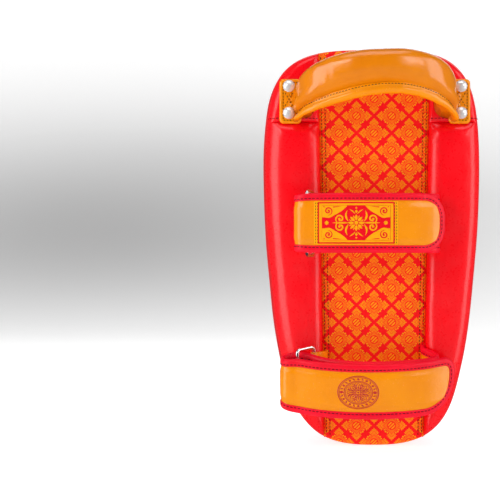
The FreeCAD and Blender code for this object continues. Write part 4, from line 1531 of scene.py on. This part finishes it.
def stamp_piece(st):
    """The round printed ornament on the lower flap: rings, beads and petals."""
    stamp = Figure(flap_surface(st, flap_run(st, STAMP_X), 0.04, 1.17, 0.95), 0.1)
    for r, width, count in ((15.6, 0.75, 96), (14.5, 0.45, 96), (10.9, 0.75, 84), (9.8, 0.45, 84),
                            (2.0, 0.7, 30)):
        stamp.hoop(r, width, count)
    for i in range(24):
        a = 2 * math.pi * i / 24
        (x, z), = turned([(12.8, 0)], a)
        if i % 12 == 0:
            stamp.spot(x, z, 1.35, 1.35, 11)
        elif i % 2 == 0:
            stamp.spot(x, z, 0.95, 0.95)
        else:
            line = [(r * math.cos(a + lag), r * math.sin(a + lag))
                    for r, lag in ((11.9, -0.05), (12.9, 0), (13.8, 0.05))]
            stamp.stroke(line, (0.7, 1.2, 0.7))
    for i in range(8):
        a = 2 * math.pi * i / 8
        for hand in (-1, 1):
            line = [(2.4, 0), (4.6, 1.5 * hand), (7.2, 1.3 * hand), (9.0, 0)]
            stamp.stroke(turned(line, a), (0.5, 0.8, 0.75, 0.4), 18)
            line = [(5.2, 3.0 * hand), (7.4, 2.9 * hand), (8.9, 1.9 * hand)]
            stamp.stroke(turned(line, a), (0.4, 0.8, 0.3))
        stamp.stroke(turned([(3.2, 0), (5.2, 0), (7.0, 0)], a), (0.4, 1.1, 0.3))
        stamp.spot(*turned([(4.6, 0)], a + math.pi / 8)[0], 0.5, 0.5)
    stamp.spot(0, 0, 0.8, 0.8)
    return stamp.build("round_stamp", RED_INK)


PRINT_MARGIN = 9.0           # room kept clear between the print and the pad's edge
DIAMOND_X = -52.0            # place across of the three diamonds


def strike_ornament():
    """A climbing figure of scrolls and leaves, and three flowers in diamonds beside it."""
    art = Figure(strike_surface, 0.22)
    for cx, cz, r, start, hand in ((24, 52, 25, 200, 1.0), (52, 96, 19, 240, -1.0),
                                   (2, 96, 15, 300, 1.0), (58, 34, 13, 100, -1.0)):
        art.curl(cx, cz, r, 1.7, math.radians(start), r * 0.20, hand)
        for i in range(9):
            a = math.radians(start) + hand * math.radians(38 * i + 8)
            rad = spiral(r, i * 38 / 612) + r * 0.16
            at = (cx + rad * math.cos(a), cz + rad * math.sin(a))
            art.leaf(at, a + hand * 0.9, r * (0.52 - 0.02 * i), hand)
    stem = spline([(30, 14), (6, 40), (8, 82), (30, 118), (38, 158), (34, 196), (44, 232),
                   (60, 262)], 60)
    art.stroke(stem[6:], (3.0, 3.4, 3.0, 2.4, 1.8, 0.2), 120)
    for k, size, side in ((18, 40, 1), (23, 40, -1), (28, 38, 1), (33, 36, -1), (38, 33, 1),
                          (43, 29, -1), (48, 25, 1), (52, 20, -1), (55, 14, 1)):
        dx, dz = stem[k + 1] - stem[k]
        art.spray(stem[k], math.atan2(dz, dx) + side * 0.62, size, -side)
    for x, z, a, size, hand in ((-8, 66, 150, 30, -1), (-4, 44, 185, 26, -1), (44, 12, 20, 24, 1),
                                (66, 56, 40, 26, 1), (68, 84, 60, 28, 1), (14, 20, 200, 22, -1)):
        art.spray((x, z), math.radians(a), size, hand)
    for z in (190, 245, 300):
        for k, w in ((27, 2.6), (22.5, 1.2)):
            corners = [(DIAMOND_X + k * 1.08 * a, z + k * 0.92 * b)
                       for a, b in ((1, 0), (0, 1), (-1, 0), (0, -1), (1, 0))]
            for line in zip(corners, corners[1:]):
                art.stroke(line, (w, w), 16)
        art.petals(DIAMOND_X, z, 3.6, 15.5, 5.0, 8)
        art.petals(DIAMOND_X, z, 9.5, 15.0, 2.0, 8, math.pi / 8)
        art.spot(DIAMOND_X, z, 2.8, 2.8, 17)
    art.parts = [part for part in art.parts
                 if edge_distance(part[0][:, 0], part[0][:, 2]).min() > PRINT_MARGIN]
    return art.build("strike_face_print", GOLD_INK)


# ---------------------------------------------------------------- thread on the pad
def panel_stitches():
    """Two rows of thread down each side of the patterned panel."""
    surf = face_surface(panel_depth, -1, 0.4)
    parts = []
    z = np.arange(10, 384, 1.2)
    for side in (-1, 1):
        for inset in (2.3, 5.7):
            x = side * (panel_half(z) - inset)
            pos, nrm = surf(x, z)
            keep = edge_distance(x, z) > 4
            parts.append(stitch_row(pos[keep], nrm[keep], 3.3, 2.4, 0.34, 0.1, 0.2))
    return build("panel_stitches", parts, DARK_THREAD)


def cross_stitches():
    """One row of thread over each cross seam."""
    def depth(x, z):
        return side_depth(np.abs(x), z, True)

    surf = face_surface(depth, -1, 0.4)
    parts = []
    for side in (-1, 1):
        x = side * np.linspace(panel_half(320.5) + 1.2, 100, 50)
        pos, nrm = surf(x, np.full(50, 319.8))
        parts.append(stitch_row(pos, nrm, 3.3, 2.5, 0.36, 0.55, 0.3))
    return build("cross_seam_stitches", parts, RED_THREAD)


def tab_stitches():
    """Border and crossed rows of thread on the end tabs."""
    parts = []
    for s in (-1, 1):
        def line(pts, s=s):
            pos = np.array([(s * x, -49.25, z) for x, z in pts])
            nrm = np.tile([0.0, -1.0, 0.0], (len(pts), 1))
            return stitch_row(pos, nrm, 2.9, 2.0, 0.30, 0.06, 0.16)
        parts.append(line([(73.0, 317.4), (87.4, 317.4), (87.6, 353.4), (73.0, 353.4)]))
        parts.append(line([(78.0, 330.5), (86.0, 344.0)]))
        parts.append(line([(86.0, 330.5), (78.0, 344.0)]))
    return build("tab_stitches", parts, DARK_THREAD)


def grip_stitches():
    """The row of thread between the grip and its rolled edge, on both faces."""
    parts = []
    for face in (1, -1):
        pts, nrm = [], []
        for t in np.linspace(-1.5, 1.5, 160):
            c, _, side, up = grip_frame(t)
            at = c + side * (face * 3.55 * narrowing(t)) - up * 16.0
            at[0] += float(splay(t, 0.0, -16.0))
            at[2] += float(lean(t, -16.0))
            pts.append(at)
            nrm.append(side * face)
        pts, nrm = np.array(pts), np.array(nrm)
        keep = pts[:, 1] < -49.6
        parts.append(stitch_row(pts[keep], nrm[keep], 3.0, 2.1, 0.36, 0.25, 0.2))
    return build("handle_stitches", parts, DARK_THREAD)


def ring_tab_stitches(side, st):
    """Two rows of thread across a ring tab, beside the eye."""
    parts = []
    for share in (0.30, 0.70):
        for off in (-1.2, 1.2):
            w = np.linspace(-st.half + 1.6, st.half - 1.6, 40)
            s = np.full(40, st.s[-1] * share + off)
            parts.append(stitch_row(st.at(s, w, -0.82), st.normal(s, -1), 2.9, 2.0, 0.28, 0.06,
                                    0.16))
    return build(side + "_ring_tab_stitches", parts, DARK_THREAD)


# ---------------------------------------------------------------- assembly
place("pad", strike_cover(), "strike_leather", "strike_cover")
place("pad", gusset(), "side_leather", "side_gusset")
place("pad", channel_panel(), "pattern_fabric", "forearm_panel")
for mirror, side in ((False, "right"), (True, "left")):
    seed = 11.0 if mirror else 4.0
    place("pad", side_pad(side + "_bolster", False, mirror, seed), "back_leather",
          side + "_bolster_cover")
    place("pad", side_pad(side + "_top_pad", True, mirror, seed + 30), "back_leather",
          side + "_top_panel")
place("pad", handle_roll(), "gold_leather", "handle_cover")
place("pad", handle_flange(), "gold_leather", "handle_rolled_edge")
for mirror in (False, True):
    place("pad", end_tab(mirror), "gold_leather", "handle_end_tabs")
for obj in (panel_stitches(), cross_stitches(), tab_stitches(), grip_stitches()):
    place("pad", obj, "thread")
place("pad", strike_ornament(), "gold_print")
build_strap("upper", UPPER)
build_strap("lower", LOWER)

KEPT = {
    "strike_foam": FOAM_A, "core_foam": FOAM_B, "backing_foam": FOAM_C,
    "left_bolster_foam": FOAM_C, "right_bolster_foam": FOAM_C, "left_top_foam": FOAM_C,
    "right_top_foam": FOAM_C, "handle_foam": FOAM_C, "upper_anchor_webbing": WEBBING,
    "lower_anchor_webbing": WEBBING, "handle_load_strap": WEBBING,
    "rivet_backing_strips": STIFF, "handle_rivets": CHROME, "rivet_burrs": BURR,
    "upper_ring": STEEL, "lower_ring": STEEL,
}
for node, mat in KEPT.items():
    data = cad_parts[node].data
    data.materials.clear()
    data.materials.append(mat)


# ---------------------------------------------------------------- studio
def paper():
    """Pale backdrop paper that glows, with painted shade: it glows a little less behind the object's
    middle.
    """
    n = Nodes("backdrop_paper")
    n.set("Base Color", (0.5, 0.5, 0.5, 1))
    n.set("Roughness", 0.9)
    x, y, z = n.split(n.coords())
    # painted shade: the glow is dimmed towards grey in a broad soft patch on the paper behind the
    # object, centred a little to its left
    up = n.mul(n.sub(z, 0.22), 2.4)
    across = n.mul(n.add(x, 0.45), 0.75)
    far = n.add(n.mul(up, up), n.mul(across, across))
    painted_shade = n.mul(n.math("EXPONENT", n.mul(far, -1.0)), n.step(y, 1.2, 1.6))
    n.set("Emission Color", n.mix(painted_shade, (1.0, 1.0, 1.0, 1), (0.14, 0.14, 0.14, 1)))
    n.set("Emission Strength", 0.80)
    return n.mat


def swept_floor(name, rows, material, closed):
    """A floor that curves up into a wall, from rows of profile points."""
    points = [p for row in rows for p in row]
    obj = smooth_mesh(name, points, grid_faces(len(rows), len(rows[0]), closed), material)
    obj.visible_glossy = False
    return obj


def profile(start, flat_to, radius, top):
    """Distance and height along a floor, a rounded corner and a wall."""
    bend = [math.radians(a) for a in range(5, 91, 5)]
    return [(start, 0.0), (flat_to, 0.0)] \
        + [(flat_to + radius * math.sin(a), radius * (1 - math.cos(a))) for a in bend] \
        + [(flat_to + radius, top)]


def backdrop():
    """The paper behind the object."""
    line = profile(-6.0, 1.2, 1.3, 6.0)
    swept_floor("backdrop", [[(x, y, z) for y, z in line] for x in (-6.0, 6.0)], PAPER, False)


def surround():
    """The same pale paper all round, far off; it lights nothing."""
    line = profile(4.0, 4.4, 1.4, 8.0)
    turns = [2 * math.pi * i / 48 for i in range(48)]
    rows = [[(r * math.cos(a), r * math.sin(a), z + 0.001) for r, z in line] for a in turns]
    far = swept_floor("surround", rows, PAPER, True)
    far.visible_diffuse = False
    far.visible_shadow = False


def area(name, at, aim, size, power):
    """A rectangular lamp at one place, turned towards another."""
    data = bpy.data.lights.new(name, "AREA")
    data.shape = "RECTANGLE"
    data.size, data.size_y = size
    data.energy = power
    obj = linked(name, data)
    obj.location = at
    obj.rotation_euler = (Vector(aim) - Vector(at)).to_track_quat("-Z", "Y").to_euler()


PAPER = paper()
backdrop()
surround()
world = bpy.data.worlds.new("studio")
world.use_nodes = True
glow = world.node_tree.nodes["Background"].inputs
glow["Color"].default_value, glow["Strength"].default_value = (1, 1, 1, 1), 0.06
bpy.context.scene.world = world
area("left_box", (-1.5, -0.55, 0.45), (0, 0, 0.2), (0.8, 1.7), 14.5)
area("right_box", (1.5, -0.45, 0.45), (0, 0, 0.2), (0.8, 1.7), 11.2)
area("top_box", (0, -0.5, 1.7), (0, 0.1, 0.1), (1.5, 0.9), 9)
area("front_left", (-1.7, -1.7, 1.3), (0, 0, 0.2), (0.9, 0.9), 12.5)
area("front_right", (1.7, -1.8, 1.2), (0, 0, 0.2), (0.9, 0.9), 10.3)
area("rear_box", (0.4, 1.6, 1.2), (0, 0, 0.2), (1.6, 1.2), 5)

camera = bpy.data.cameras.new("camera")
camera.lens, camera.sensor_width = 72.0, 36.0
cam = linked("camera", camera)
cam.location = (-0.119, -0.971, 0.1882)
cam.rotation_euler = (math.radians(90), 0, 0)
bpy.context.scene.camera = cam
bpy.context.scene.view_settings.view_transform = "Standard"
